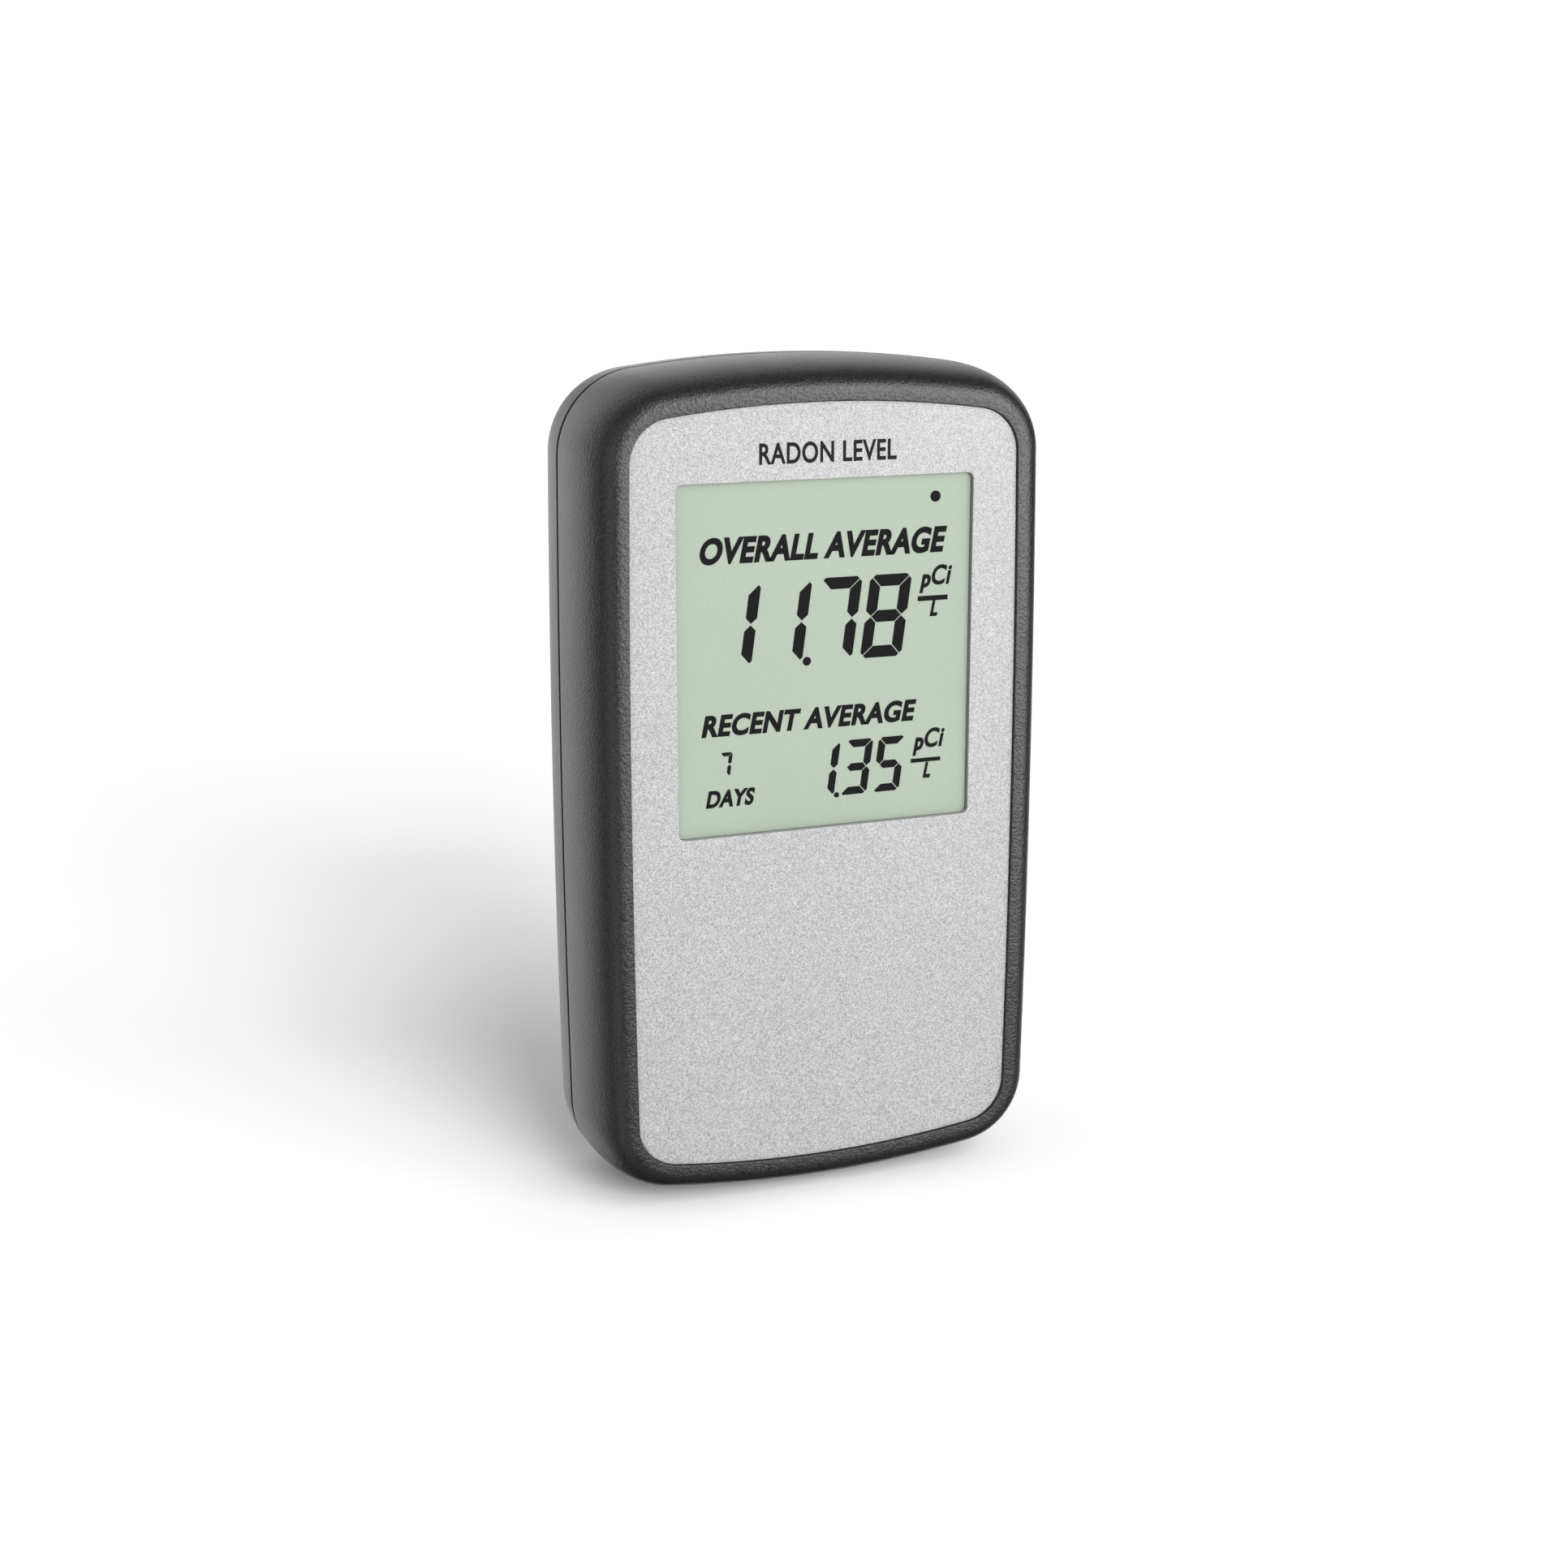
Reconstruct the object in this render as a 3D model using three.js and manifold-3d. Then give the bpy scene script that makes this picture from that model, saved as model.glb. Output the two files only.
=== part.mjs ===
// Radon gas monitor: a flat rounded instrument that stands on its lower edge or hangs on a hook.
// Millimetres, +Z up. The display faces -Y, +X is to the right of a person reading it, and the
// origin is the middle of the footprint under the lower edge. Depth is measured along Y.

import * as THREE from 'three';
import { mergeVertices } from 'three/addons/utils/BufferGeometryUtils.js';
import Module from 'manifold-3d';

const wasm = await Module();
wasm.setup();

// ---------------------------------------------------------------- driving dimensions

// Case outline: four shallow arcs joined by four corner arcs.
const CASE_WIDTH = 69;
const CASE_HEIGHT = 120;
const CASE_DEPTH = 25.5;
const SIDE_ARC_RADIUS = 2589;
const CAP_ARC_RADIUS = 176.4;
const CORNER_RADIUS = 12;
const SIDE_FACETS = 3;
const CAP_FACETS = 7; // odd, so that the lower edge has a level facet to stand on
const CORNER_FACETS = 6;

// Case section: superellipse flanks either side of the parting line.
const FRONT_Y = -CASE_DEPTH / 2;
const BACK_Y = CASE_DEPTH / 2;
const PARTING_Y = 2.2;
const CREST_INSET = 4.6;
const CREST_EXPONENT = 2.35;
const BACK_INSET = 5.5;
const BACK_EXPONENT = 2.9;
const FLANK_STEPS = 6;
const LAND_FRONT = 4; // level band in front of the parting line
const LAND_BACK = 2.5; // level band behind it
const GAP = 0.3; // clearance between neighbouring pieces
const HALF_GAP = GAP / 2;
const WALL = 2.4;

// Silver front panel, held in a pocket of the frame.
const PANEL_FACE_Y = -12.05;
const PANEL_INSET = 5.8;
const PANEL_THICKNESS = 1;
const PANEL_BACK_Y = PANEL_FACE_Y + PANEL_THICKNESS;
const LEDGE_INSET = 7.3;
const LEDGE_THICKNESS = 1.8;
const BEZEL_KNEE_INSET = 5.2;
const BEZEL_KNEE_DROP = 0.1;
const BEZEL_EDGE_PROUD = 0.35; // how far the frame's inner edge stands in front of the panel

// Display.
const WINDOW_HALF_WIDTH = 21.9;
const WINDOW_HALF_HEIGHT = 24.7;
const WINDOW_CENTRE_Z = 79.3;
const WINDOW_CORNER_RADIUS = 0.9;
const WINDOW_CORNER_FACETS = 3;
const GLASS_HALF_WIDTH = 22.4;
const GLASS_HALF_HEIGHT = 26.2;
const GLASS_THICKNESS = 1.8;
const REFLECTOR_HALF_WIDTH = 20.8;
const REFLECTOR_HALF_HEIGHT = 22.2;
const REFLECTOR_THICKNESS = 0.4;
const CARRIER_WALL = 1.2;
const ZEBRA_HALF_WIDTH = 19;
const ZEBRA_HEIGHT = 2.2;
const ZEBRA_OFFSET = 23.6; // above and below the middle of the display

// Circuit board and what is soldered to its rear face.
const BOARD_HALF_WIDTH = 28;
const BOARD_BOTTOM_Z = 16;
const BOARD_TOP_Z = 105.4;
const BOARD_FRONT_Y = -3.9;
const BOARD_THICKNESS = 1.6;
const BOARD_BACK_Y = BOARD_FRONT_Y + BOARD_THICKNESS;
const SOLDERED_Y = BOARD_BACK_Y + GAP;
const BOARD_SCREW_X = 24.8;
const BOARD_SCREW_Z = [58, 100];
const BOARD_BOSS_RADIUS = 1.8;
const BOARD_PILOT_RADIUS = 1.2;
const BOARD_HOLE_RADIUS = 1.4;
const MICROCONTROLLER = { x: 15, z: 93, width: 10, height: 10, thickness: 1.4 };
const AMPLIFIER = { x: 13, z: 77, width: 5, height: 4, thickness: 1.2 };
const CRYSTAL = { x: 24.5, z: 84, width: 2.4, height: 7, thickness: 1.8 };
const SHIELD = { x: AMPLIFIER.x, z: AMPLIFIER.z, width: 14, height: 12, thickness: 3.2 };
const SHIELD_WALL = 0.4;
const CAPACITOR = { x: -17, z: 60.5, radius: 3.1, length: 6.5 };
const BOARD_SCREW = { shank: 0.9, head: 2, headHeight: 1.2, length: 6.5, slot: 0.5 };

// Radon chamber.
const CHAMBER_X = -10;
const CHAMBER_Z = 79;
const CHAMBER_RADIUS = 14;
const CHAMBER_WALL = 1.4;
const CHAMBER_BACK_Y = 9.6;
const CHAMBER_PORT_RADIUS = 1.6;
const CHAMBER_PORT_CIRCLE = 5;
const CHAMBER_PORTS = 6;
const PHOTODIODE = { x: CHAMBER_X, z: CHAMBER_Z, width: 10, height: 10, thickness: 1.5 };
const GASKET_THICKNESS = 0.8;
const FILTER_RADIUS = 8.5;
const FILTER_THICKNESS = 0.55;

// Rear shell openings.
const REAR_WALL = 2;
const REAR_INNER_Y = BACK_Y - REAR_WALL;
const LIP_REACH = 1.5;
const LIP_THICKNESS = 1.2;
const INLET_SLOT_WIDTH = 1.6;
const INLET_SLOT_LENGTH = 13;
const INLET_SLOT_PITCH = 3.4;
const INLET_SLOTS = 5;
const KEYHOLE_Z = 101.5;
const KEYHOLE_RADIUS = 4.2;
const KEYHOLE_SLOT_HALF_WIDTH = 2.2;
const KEYHOLE_SLOT_TOP_Z = 107;
const POCKET_HALF_WIDTH = 5.2;
const POCKET_BOTTOM_Z = 96.6;
const POCKET_TOP_Z = 110;
const POCKET_FLOOR_Y = 6.3;
const POCKET_WALL = 1.2;
const LABEL_X = 17;
const LABEL_Z = 83;
const LABEL_WIDTH = 18;
const LABEL_HEIGHT = 22;
const LABEL_RECESS = 0.65;
const LABEL_THICKNESS = 0.3;

// Case screws.
const CASE_SCREW_X = 24.2;
const CASE_SCREW_Z = [11.2, 108.8];
const FRONT_BOSS_RADIUS = 2.8;
const FRONT_BOSS_END_Y = 2;
const FRONT_PILOT_RADIUS = 1.5;
const FRONT_PILOT_START_Y = -7;
const REAR_POST_RADIUS = 4.2;
const REAR_POST_END_Y = FRONT_BOSS_END_Y + GAP;
const COUNTERBORE_RADIUS = 3;
const COUNTERBORE_Y = 6;
const CASE_HOLE_RADIUS = 1.6;
const CASE_SCREW = { shank: 1.2, head: 2.5, headHeight: 2, length: 11, slot: 0.7 };

// Battery bay, its cover, three cells and their contacts.
const BAY_CENTRE_Z = 36.5;
const BAY_HALF_WIDTH = 26.5;
const BAY_HALF_HEIGHT = 17;
const BAY_FLOOR_Y = 0.2;
const BAY_WALL = 1.4;
const COVER_LEDGE = 1;
const COVER_THICKNESS = 1.45;
const COVER_SEAT_Y = BACK_Y - COVER_THICKNESS - GAP;
const COVER_LEG = { halfWidth: 5, thickness: 0.8, length: 2.3 };
const COVER_GRIP_RIBS = 5;
const COVER_GRIP_PITCH = 1.8;
const COVER_GRIP = { halfWidth: 8, width: 0.9, depth: 0.6, topInset: 4.5 };
const CELL_PITCH = 11.3;
const CELL_RADIUS = 5.25;
const CELL_BODY_LENGTH = 43.5;
const CELL_NUB_RADIUS = 1.9;
const CELL_NUB_LENGTH = 1;
const CELL_CENTRE_Y = BAY_FLOOR_Y + GAP + CELL_RADIUS;
const CELL_EDGE = 0.5;
const RIB = { thickness: 1, height: 2.4 };
const CONTACT_THICKNESS = 0.5;
const CONTACT_HALF_SIZE = 4;
const SPRING = { wide: 3, narrow: 2.2, wire: 0.4, turns: 4, steps: 44, sides: 5 };

// Pin-pressed buttons and their switches.
const BUTTON_Z = 63;
const BUTTON_TRAVEL = 0.5;
const BUTTONS = [{ name: 'reset', x: 10 }, { name: 'mode', x: 20 }];
const BUTTON = { cap: 1.7, flange: 2.8, flangeHeight: 1.25, stem: 1.3, recess: 0.75 };
const BUTTON_GUIDE_WALL = 0.9;
const SWITCH = { width: 6, height: 6, thickness: 3 };
const SWITCH_TOP_Y = SOLDERED_Y + SWITCH.thickness;
const BUTTON_GUIDE_END_Y = SWITCH_TOP_Y + 2 * GAP;

const ROUND_SIDES = 24;
const SMALL_SIDES = 16;
const CUT_MARGIN = 1; // how far cutting tools run past the material

// ---------------------------------------------------------------- materials

function material(color, roughness, metalness = 0) {
  return new THREE.MeshStandardMaterial({ color, roughness, metalness, flatShading: true });
}

const graphitePlastic = () => material(0x3d3e41, 0.55);
const silverFinish = () => material(0xc9cacc, 0.38, 0.55);
const blackPlastic = () => material(0x1b1b1d, 0.5);
const displayGlass = () => material(0xb9c3b0, 0.2);
const boardGreen = () => material(0x1f5a36, 0.45);
const rubberGrey = () => material(0x3a3a3a, 0.8);
const steel = () => material(0xb5b5b8, 0.3, 1);
const cellJacket = () => material(0x8d949b, 0.35, 0.6);
const labelPaper = () => material(0xd9d9d6, 0.6);
const filterFelt = () => material(0xe2e0d8, 0.95);

// ---------------------------------------------------------------- geometry helpers

/** Keep only positions, join shared vertices and drop triangles that collapse to a line. */
function welded(geometry) {
  const bare = geometry.clone();
  bare.deleteAttribute('normal');
  bare.deleteAttribute('uv');
  const joined = mergeVertices(bare);
  const index = joined.getIndex().array;
  const kept = [];
  for (let i = 0; i < index.length; i += 3) {
    const [a, b, c] = [index[i], index[i + 1], index[i + 2]];
    if (a !== b && b !== c && c !== a) kept.push(a, b, c);
  }
  joined.setIndex(kept);
  return joined;
}

function toSolid(geometry) {
  const closed = welded(geometry);
  return new wasm.Manifold(new wasm.Mesh({
    numProp: 3,
    vertProperties: new Float32Array(closed.getAttribute('position').array),
    triVerts: new Uint32Array(closed.getIndex().array),
  }));
}

function toGeometry(solid) {
  const mesh = solid.getMesh();
  const geometry = new THREE.BufferGeometry();
  geometry.setAttribute('position', new THREE.Float32BufferAttribute(mesh.vertProperties, 3));
  geometry.setIndex(Array.from(mesh.triVerts));
  return geometry;
}

function joinAll(solid, geometries) {
  return geometries.reduce((sum, geometry) => sum.add(toSolid(geometry)), solid);
}

function cutAll(solid, geometries) {
  return geometries.reduce((rest, geometry) => rest.subtract(toSolid(geometry)), solid);
}

/** A box given by its lowest and highest corner. */
function block([x0, y0, z0], [x1, y1, z1]) {
  const box = new THREE.BoxGeometry(x1 - x0, y1 - y0, z1 - z0);
  return box.translate((x0 + x1) / 2, (y0 + y1) / 2, (z0 + z1) / 2);
}

/** A round rod along the depth, from y0 to y1. */
function rod(x, z, radius, y0, y1, sides = ROUND_SIDES) {
  const cylinder = new THREE.CylinderGeometry(radius, radius, y1 - y0, sides);
  return cylinder.translate(x, (y0 + y1) / 2, z);
}

/** A body turned about the depth axis from [radius, y] pairs that run from front to back. */
function turned(profile, sides = ROUND_SIDES) {
  return welded(new THREE.LatheGeometry(profile.map(([r, y]) => new THREE.Vector2(r, y)), sides));
}

/** A rounded rectangle in the XZ plane, centred on (0, z), pushed along the depth. */
function roundedPlate({ halfWidth, halfHeight, radius, facets }, z, y0, y1) {
  const shape = new THREE.Shape();
  shape.absarc(halfWidth - radius, halfHeight - radius, radius, 0, Math.PI / 2);
  shape.absarc(radius - halfWidth, halfHeight - radius, radius, Math.PI / 2, Math.PI);
  shape.absarc(radius - halfWidth, radius - halfHeight, radius, Math.PI, Math.PI * 1.5);
  shape.absarc(halfWidth - radius, radius - halfHeight, radius, Math.PI * 1.5, Math.PI * 2);
  const depth = y1 - y0;
  const plate = new THREE.ExtrudeGeometry(shape, { depth, bevelEnabled: false, curveSegments: facets });
  return plate.rotateX(Math.PI / 2).translate(0, y1, z);
}

// ---------------------------------------------------------------- case outline and section

/** How far a facet of the given width sits inside the arc that its ends lie on. */
function facetRise(radius, facetWidth) {
  return radius - Math.sqrt(radius ** 2 - (facetWidth / 2) ** 2);
}

// The arcs are pushed out so that the middle facets, not the vertices, give the overall size.
const sideFacetWidth = (CASE_HEIGHT - 2 * CORNER_RADIUS) / SIDE_FACETS;
const capFacetWidth = (CASE_WIDTH - 2 * CORNER_RADIUS) / CAP_FACETS;
const sideReach = CASE_WIDTH / 2 + facetRise(SIDE_ARC_RADIUS, sideFacetWidth);
const capReach = CASE_HEIGHT / 2 + facetRise(CAP_ARC_RADIUS, capFacetWidth);

/** Centre of the upper right corner arc, tangent inside both the side arc and the cap arc. */
function cornerCentre() {
  const sideX = sideReach - SIDE_ARC_RADIUS;
  const capZ = capReach - CAP_ARC_RADIUS;
  const r0 = SIDE_ARC_RADIUS - CORNER_RADIUS;
  const r1 = CAP_ARC_RADIUS - CORNER_RADIUS;
  const distance = Math.hypot(sideX, capZ);
  const along = (r0 ** 2 - r1 ** 2 + distance ** 2) / (2 * distance);
  const across = Math.sqrt(r0 ** 2 - along ** 2);
  const [ux, uz] = [-sideX / distance, capZ / distance];
  return { x: sideX + ux * along - uz * across, z: uz * along + ux * across };
}

const corner = cornerCentre();
const sideAngle = Math.atan2(corner.z, corner.x - (sideReach - SIDE_ARC_RADIUS));
const capAngle = Math.atan2(corner.z - (capReach - CAP_ARC_RADIUS), corner.x);

/** Outline points [x, z], drawn in by inset, anticlockwise as seen from the front. */
function outline(inset) {
  const sideX = sideReach - SIDE_ARC_RADIUS;
  const capZ = capReach - CAP_ARC_RADIUS;
  const [side, cap, round] = [SIDE_ARC_RADIUS, CAP_ARC_RADIUS, CORNER_RADIUS].map((r) => r - inset);
  const { PI } = Math;
  const arcs = [
    [sideX, 0, side, -sideAngle, sideAngle, SIDE_FACETS],
    [corner.x, corner.z, round, sideAngle, capAngle, CORNER_FACETS],
    [0, capZ, cap, capAngle, PI - capAngle, CAP_FACETS],
    [-corner.x, corner.z, round, PI - capAngle, PI - sideAngle, CORNER_FACETS],
    [-sideX, 0, side, PI - sideAngle, PI + sideAngle, SIDE_FACETS],
    [-corner.x, -corner.z, round, PI + sideAngle, PI + capAngle, CORNER_FACETS],
    [0, -capZ, cap, PI + capAngle, 2 * PI - capAngle, CAP_FACETS],
    [corner.x, -corner.z, round, 2 * PI - capAngle, 2 * PI - sideAngle, CORNER_FACETS],
  ];
  const points = [];
  for (const [x, z, radius, start, end, facets] of arcs) {
    for (let i = 0; i < facets; i += 1) {
      const angle = start + ((end - start) * i) / facets;
      points.push([x + radius * Math.cos(angle), z + radius * Math.sin(angle) + CASE_HEIGHT / 2]);
    }
  }
  return points;
}

/**
 * A body swept round the outline through [inset, y] rings that run front to back along the
 * outside. A closed section gives a frame; an open one gives a filled body with two flat ends.
 */
function swept(section, closedSection) {
  const rings = section.map(([inset, y]) => outline(inset).map(([x, z]) => [x, y, z]));
  const count = rings[0].length;
  const positions = rings.flat(2);
  const index = [];
  const bands = closedSection ? rings.length : rings.length - 1;
  for (let band = 0; band < bands; band += 1) {
    const here = band * count;
    const next = ((band + 1) % rings.length) * count;
    for (let i = 0; i < count; i += 1) {
      const j = (i + 1) % count;
      index.push(here + i, next + i, next + j, here + i, next + j, here + j);
    }
  }
  if (!closedSection) {
    const last = (rings.length - 1) * count;
    for (let i = 1; i < count - 1; i += 1) {
      index.push(0, i, i + 1, last, last + i + 1, last + i);
    }
  }
  const geometry = new THREE.BufferGeometry();
  geometry.setAttribute('position', new THREE.Float32BufferAttribute(positions, 3));
  geometry.setIndex(index);
  return geometry;
}

/** Front flank from the crest back to the level land at the parting line. */
function frontFlank() {
  const depth = PARTING_Y - FRONT_Y;
  const rings = [];
  for (let i = 0; i < FLANK_STEPS; i += 1) {
    const angle = (Math.PI / 2) * (i / FLANK_STEPS);
    const inset = CREST_INSET * (1 - Math.sin(angle) ** (2 / CREST_EXPONENT));
    rings.push([inset, PARTING_Y - depth * Math.cos(angle) ** (2 / CREST_EXPONENT)]);
  }
  rings.push([0, PARTING_Y - LAND_FRONT], [0, PARTING_Y - HALF_GAP]);
  return rings;
}

/** Rear flank from the parting line round the back edge to the flat back. */
function rearFlank() {
  const depth = BACK_Y - PARTING_Y;
  const rings = [[0, PARTING_Y + HALF_GAP], [0, PARTING_Y + LAND_BACK]];
  for (let i = 2; i <= FLANK_STEPS + 1; i += 1) {
    const angle = (Math.PI / 2) * (i / (FLANK_STEPS + 1));
    const inset = BACK_INSET * (1 - Math.cos(angle) ** (2 / BACK_EXPONENT));
    rings.push([inset, PARTING_Y + depth * Math.sin(angle) ** (2 / BACK_EXPONENT)]);
  }
  return rings;
}

/** The four places (x, z) that mirror left and right at the given heights. */
function mirroredPlaces(x, heights) {
  return heights.flatMap((z) => [[-x, z], [x, z]]);
}

const caseScrewPlaces = mirroredPlaces(CASE_SCREW_X, CASE_SCREW_Z);
const boardScrewPlaces = mirroredPlaces(BOARD_SCREW_X, BOARD_SCREW_Z);

// ---------------------------------------------------------------- front frame and panel

const pocketInset = PANEL_INSET - HALF_GAP;
const ledgeFrontY = PANEL_BACK_Y + GAP;
const ledgeBackY = ledgeFrontY + LEDGE_THICKNESS;

function frontFrame() {
  const ring = swept([
    ...frontFlank(),
    [WALL, PARTING_Y - HALF_GAP],
    [WALL, ledgeBackY],
    [LEDGE_INSET, ledgeBackY],
    [LEDGE_INSET, ledgeFrontY],
    [pocketInset, ledgeFrontY],
    [pocketInset, PANEL_FACE_Y - BEZEL_EDGE_PROUD],
    [BEZEL_KNEE_INSET, FRONT_Y + BEZEL_KNEE_DROP],
  ], true);
  const bosses = caseScrewPlaces.map(([x, z]) => (
    rod(x, z, FRONT_BOSS_RADIUS, ledgeFrontY, FRONT_BOSS_END_Y)
  ));
  const pilots = caseScrewPlaces.map(([x, z]) => (
    rod(x, z, FRONT_PILOT_RADIUS, FRONT_PILOT_START_Y, FRONT_BOSS_END_Y + CUT_MARGIN, SMALL_SIDES)
  ));
  return toGeometry(cutAll(joinAll(toSolid(ring), bosses), pilots));
}

function frontPanel() {
  const edgeInset = PANEL_INSET + HALF_GAP;
  const plate = swept([[edgeInset, PANEL_FACE_Y], [edgeInset, PANEL_BACK_Y]], false);
  const bossEndY = BOARD_FRONT_Y - GAP;
  const bosses = boardScrewPlaces.map(([x, z]) => (
    rod(x, z, BOARD_BOSS_RADIUS, PANEL_BACK_Y - PANEL_THICKNESS / 2, bossEndY, SMALL_SIDES)
  ));
  const pilots = boardScrewPlaces.map(([x, z]) => (
    rod(x, z, BOARD_PILOT_RADIUS, PANEL_BACK_Y + CUT_MARGIN, bossEndY + CUT_MARGIN, SMALL_SIDES)
  ));
  const opening = roundedPlate({
    halfWidth: WINDOW_HALF_WIDTH,
    halfHeight: WINDOW_HALF_HEIGHT,
    radius: WINDOW_CORNER_RADIUS,
    facets: WINDOW_CORNER_FACETS,
  }, WINDOW_CENTRE_Z, PANEL_FACE_Y - CUT_MARGIN, PANEL_BACK_Y + CUT_MARGIN);
  return toGeometry(cutAll(joinAll(toSolid(plate), bosses), [...pilots, opening]));
}

// ---------------------------------------------------------------- rear shell

/** A group of level air slots in the back wall over the chamber. */
function inletSlots() {
  const slots = [];
  for (let i = 0; i < INLET_SLOTS; i += 1) {
    const z = CHAMBER_Z + (i - (INLET_SLOTS - 1) / 2) * INLET_SLOT_PITCH;
    slots.push(block(
      [CHAMBER_X - INLET_SLOT_LENGTH / 2, REAR_INNER_Y - CUT_MARGIN, z - INLET_SLOT_WIDTH / 2],
      [CHAMBER_X + INLET_SLOT_LENGTH / 2, BACK_Y + CUT_MARGIN, z + INLET_SLOT_WIDTH / 2],
    ));
  }
  return slots;
}

function hangingPocket(grow, y0, y1) {
  return block(
    [-POCKET_HALF_WIDTH - grow, y0, POCKET_BOTTOM_Z - grow],
    [POCKET_HALF_WIDTH + grow, y1, POCKET_TOP_Z + grow],
  );
}

function bayBlock(grow, y0, y1) {
  return block(
    [-BAY_HALF_WIDTH - grow, y0, BAY_CENTRE_Z - BAY_HALF_HEIGHT - grow],
    [BAY_HALF_WIDTH + grow, y1, BAY_CENTRE_Z + BAY_HALF_HEIGHT + grow],
  );
}

function rearShell() {
  const lipInset = WALL + GAP;
  const lipEndY = PARTING_Y + HALF_GAP - LIP_REACH;
  const outside = swept([[lipInset, lipEndY], [lipInset, PARTING_Y + HALF_GAP], ...rearFlank()], false);
  const inside = swept([
    [lipInset + LIP_THICKNESS, lipEndY - CUT_MARGIN],
    [lipInset + LIP_THICKNESS, PARTING_Y + LIP_REACH],
    [WALL, PARTING_Y + LAND_BACK],
    [WALL, BACK_Y - BACK_INSET],
    [BACK_INSET, REAR_INNER_Y],
  ], false);
  const weldY = REAR_INNER_Y + REAR_WALL / 2;
  const additions = [
    bayBlock(BAY_WALL, BAY_FLOOR_Y - BAY_WALL, weldY),
    hangingPocket(POCKET_WALL, POCKET_FLOOR_Y - POCKET_WALL, weldY),
    ...caseScrewPlaces.map(([x, z]) => rod(x, z, REAR_POST_RADIUS, REAR_POST_END_Y, weldY)),
    ...BUTTONS.map(({ x }) => (
      rod(x, BUTTON_Z, BUTTON.flange + GAP + BUTTON_GUIDE_WALL, BUTTON_GUIDE_END_Y, weldY)
    )),
  ];
  const openBack = BACK_Y + CUT_MARGIN;
  const cuts = [
    bayBlock(0, BAY_FLOOR_Y, openBack),
    bayBlock(COVER_LEDGE, COVER_SEAT_Y, openBack),
    hangingPocket(0, POCKET_FLOOR_Y, REAR_INNER_Y),
    rod(0, KEYHOLE_Z, KEYHOLE_RADIUS, POCKET_FLOOR_Y + CUT_MARGIN, openBack),
    rod(0, KEYHOLE_SLOT_TOP_Z, KEYHOLE_SLOT_HALF_WIDTH, POCKET_FLOOR_Y + CUT_MARGIN, openBack, SMALL_SIDES),
    block(
      [-KEYHOLE_SLOT_HALF_WIDTH, POCKET_FLOOR_Y + CUT_MARGIN, KEYHOLE_Z],
      [KEYHOLE_SLOT_HALF_WIDTH, openBack, KEYHOLE_SLOT_TOP_Z],
    ),
    block(
      [LABEL_X - LABEL_WIDTH / 2 - GAP, BACK_Y - LABEL_RECESS, LABEL_Z - LABEL_HEIGHT / 2 - GAP],
      [LABEL_X + LABEL_WIDTH / 2 + GAP, openBack, LABEL_Z + LABEL_HEIGHT / 2 + GAP],
    ),
    ...inletSlots(),
    ...BUTTONS.flatMap(({ x }) => [
      rod(x, BUTTON_Z, BUTTON.flange + GAP, BUTTON_GUIDE_END_Y - CUT_MARGIN, REAR_INNER_Y),
      rod(x, BUTTON_Z, BUTTON.cap + GAP, REAR_INNER_Y - CUT_MARGIN, openBack),
    ]),
    ...caseScrewPlaces.flatMap(([x, z]) => [
      rod(x, z, CASE_HOLE_RADIUS, REAR_POST_END_Y - CUT_MARGIN, openBack, SMALL_SIDES),
      rod(x, z, COUNTERBORE_RADIUS, COUNTERBORE_Y, openBack),
    ]),
  ];
  const ribs = [-1, 1].map((side) => {
    const z = BAY_CENTRE_Z + (side * CELL_PITCH) / 2;
    return block(
      [-BAY_HALF_WIDTH / 2, BAY_FLOOR_Y - BAY_WALL / 2, z - RIB.thickness / 2],
      [BAY_HALF_WIDTH / 2, BAY_FLOOR_Y + RIB.height, z + RIB.thickness / 2],
    );
  });
  const hollow = toSolid(outside).subtract(toSolid(inside));
  return toGeometry(joinAll(cutAll(joinAll(hollow, additions), cuts), ribs));
}

// ---------------------------------------------------------------- battery cover, cells, contacts

function batteryCover() {
  const slack = COVER_LEDGE - GAP;
  const innerY = BACK_Y - COVER_THICKNESS;
  const plate = bayBlock(slack, innerY, BACK_Y);
  const legs = [-1, 1].map((side) => {
    const outerZ = side * (BAY_HALF_HEIGHT - GAP);
    const innerZ = side * (BAY_HALF_HEIGHT - GAP - COVER_LEG.thickness);
    return block(
      [-COVER_LEG.halfWidth, innerY - COVER_LEG.length, BAY_CENTRE_Z + Math.min(outerZ, innerZ)],
      [COVER_LEG.halfWidth, innerY + COVER_THICKNESS / 2, BAY_CENTRE_Z + Math.max(outerZ, innerZ)],
    );
  });
  const grooves = [];
  for (let i = 0; i < COVER_GRIP_RIBS; i += 1) {
    const z = BAY_CENTRE_Z + BAY_HALF_HEIGHT - COVER_GRIP.topInset - i * COVER_GRIP_PITCH;
    grooves.push(block(
      [-COVER_GRIP.halfWidth, BACK_Y - COVER_GRIP.depth, z - COVER_GRIP.width / 2],
      [COVER_GRIP.halfWidth, BACK_Y + CUT_MARGIN, z + COVER_GRIP.width / 2],
    ));
  }
  return toGeometry(cutAll(joinAll(toSolid(plate), legs), grooves));
}

const contactOuterX = BAY_HALF_WIDTH - GAP;
const contactInnerX = contactOuterX - CONTACT_THICKNESS;
const cellNubTip = contactInnerX - GAP;
const cellFlatEnd = cellNubTip - CELL_NUB_LENGTH - CELL_BODY_LENGTH;

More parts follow.
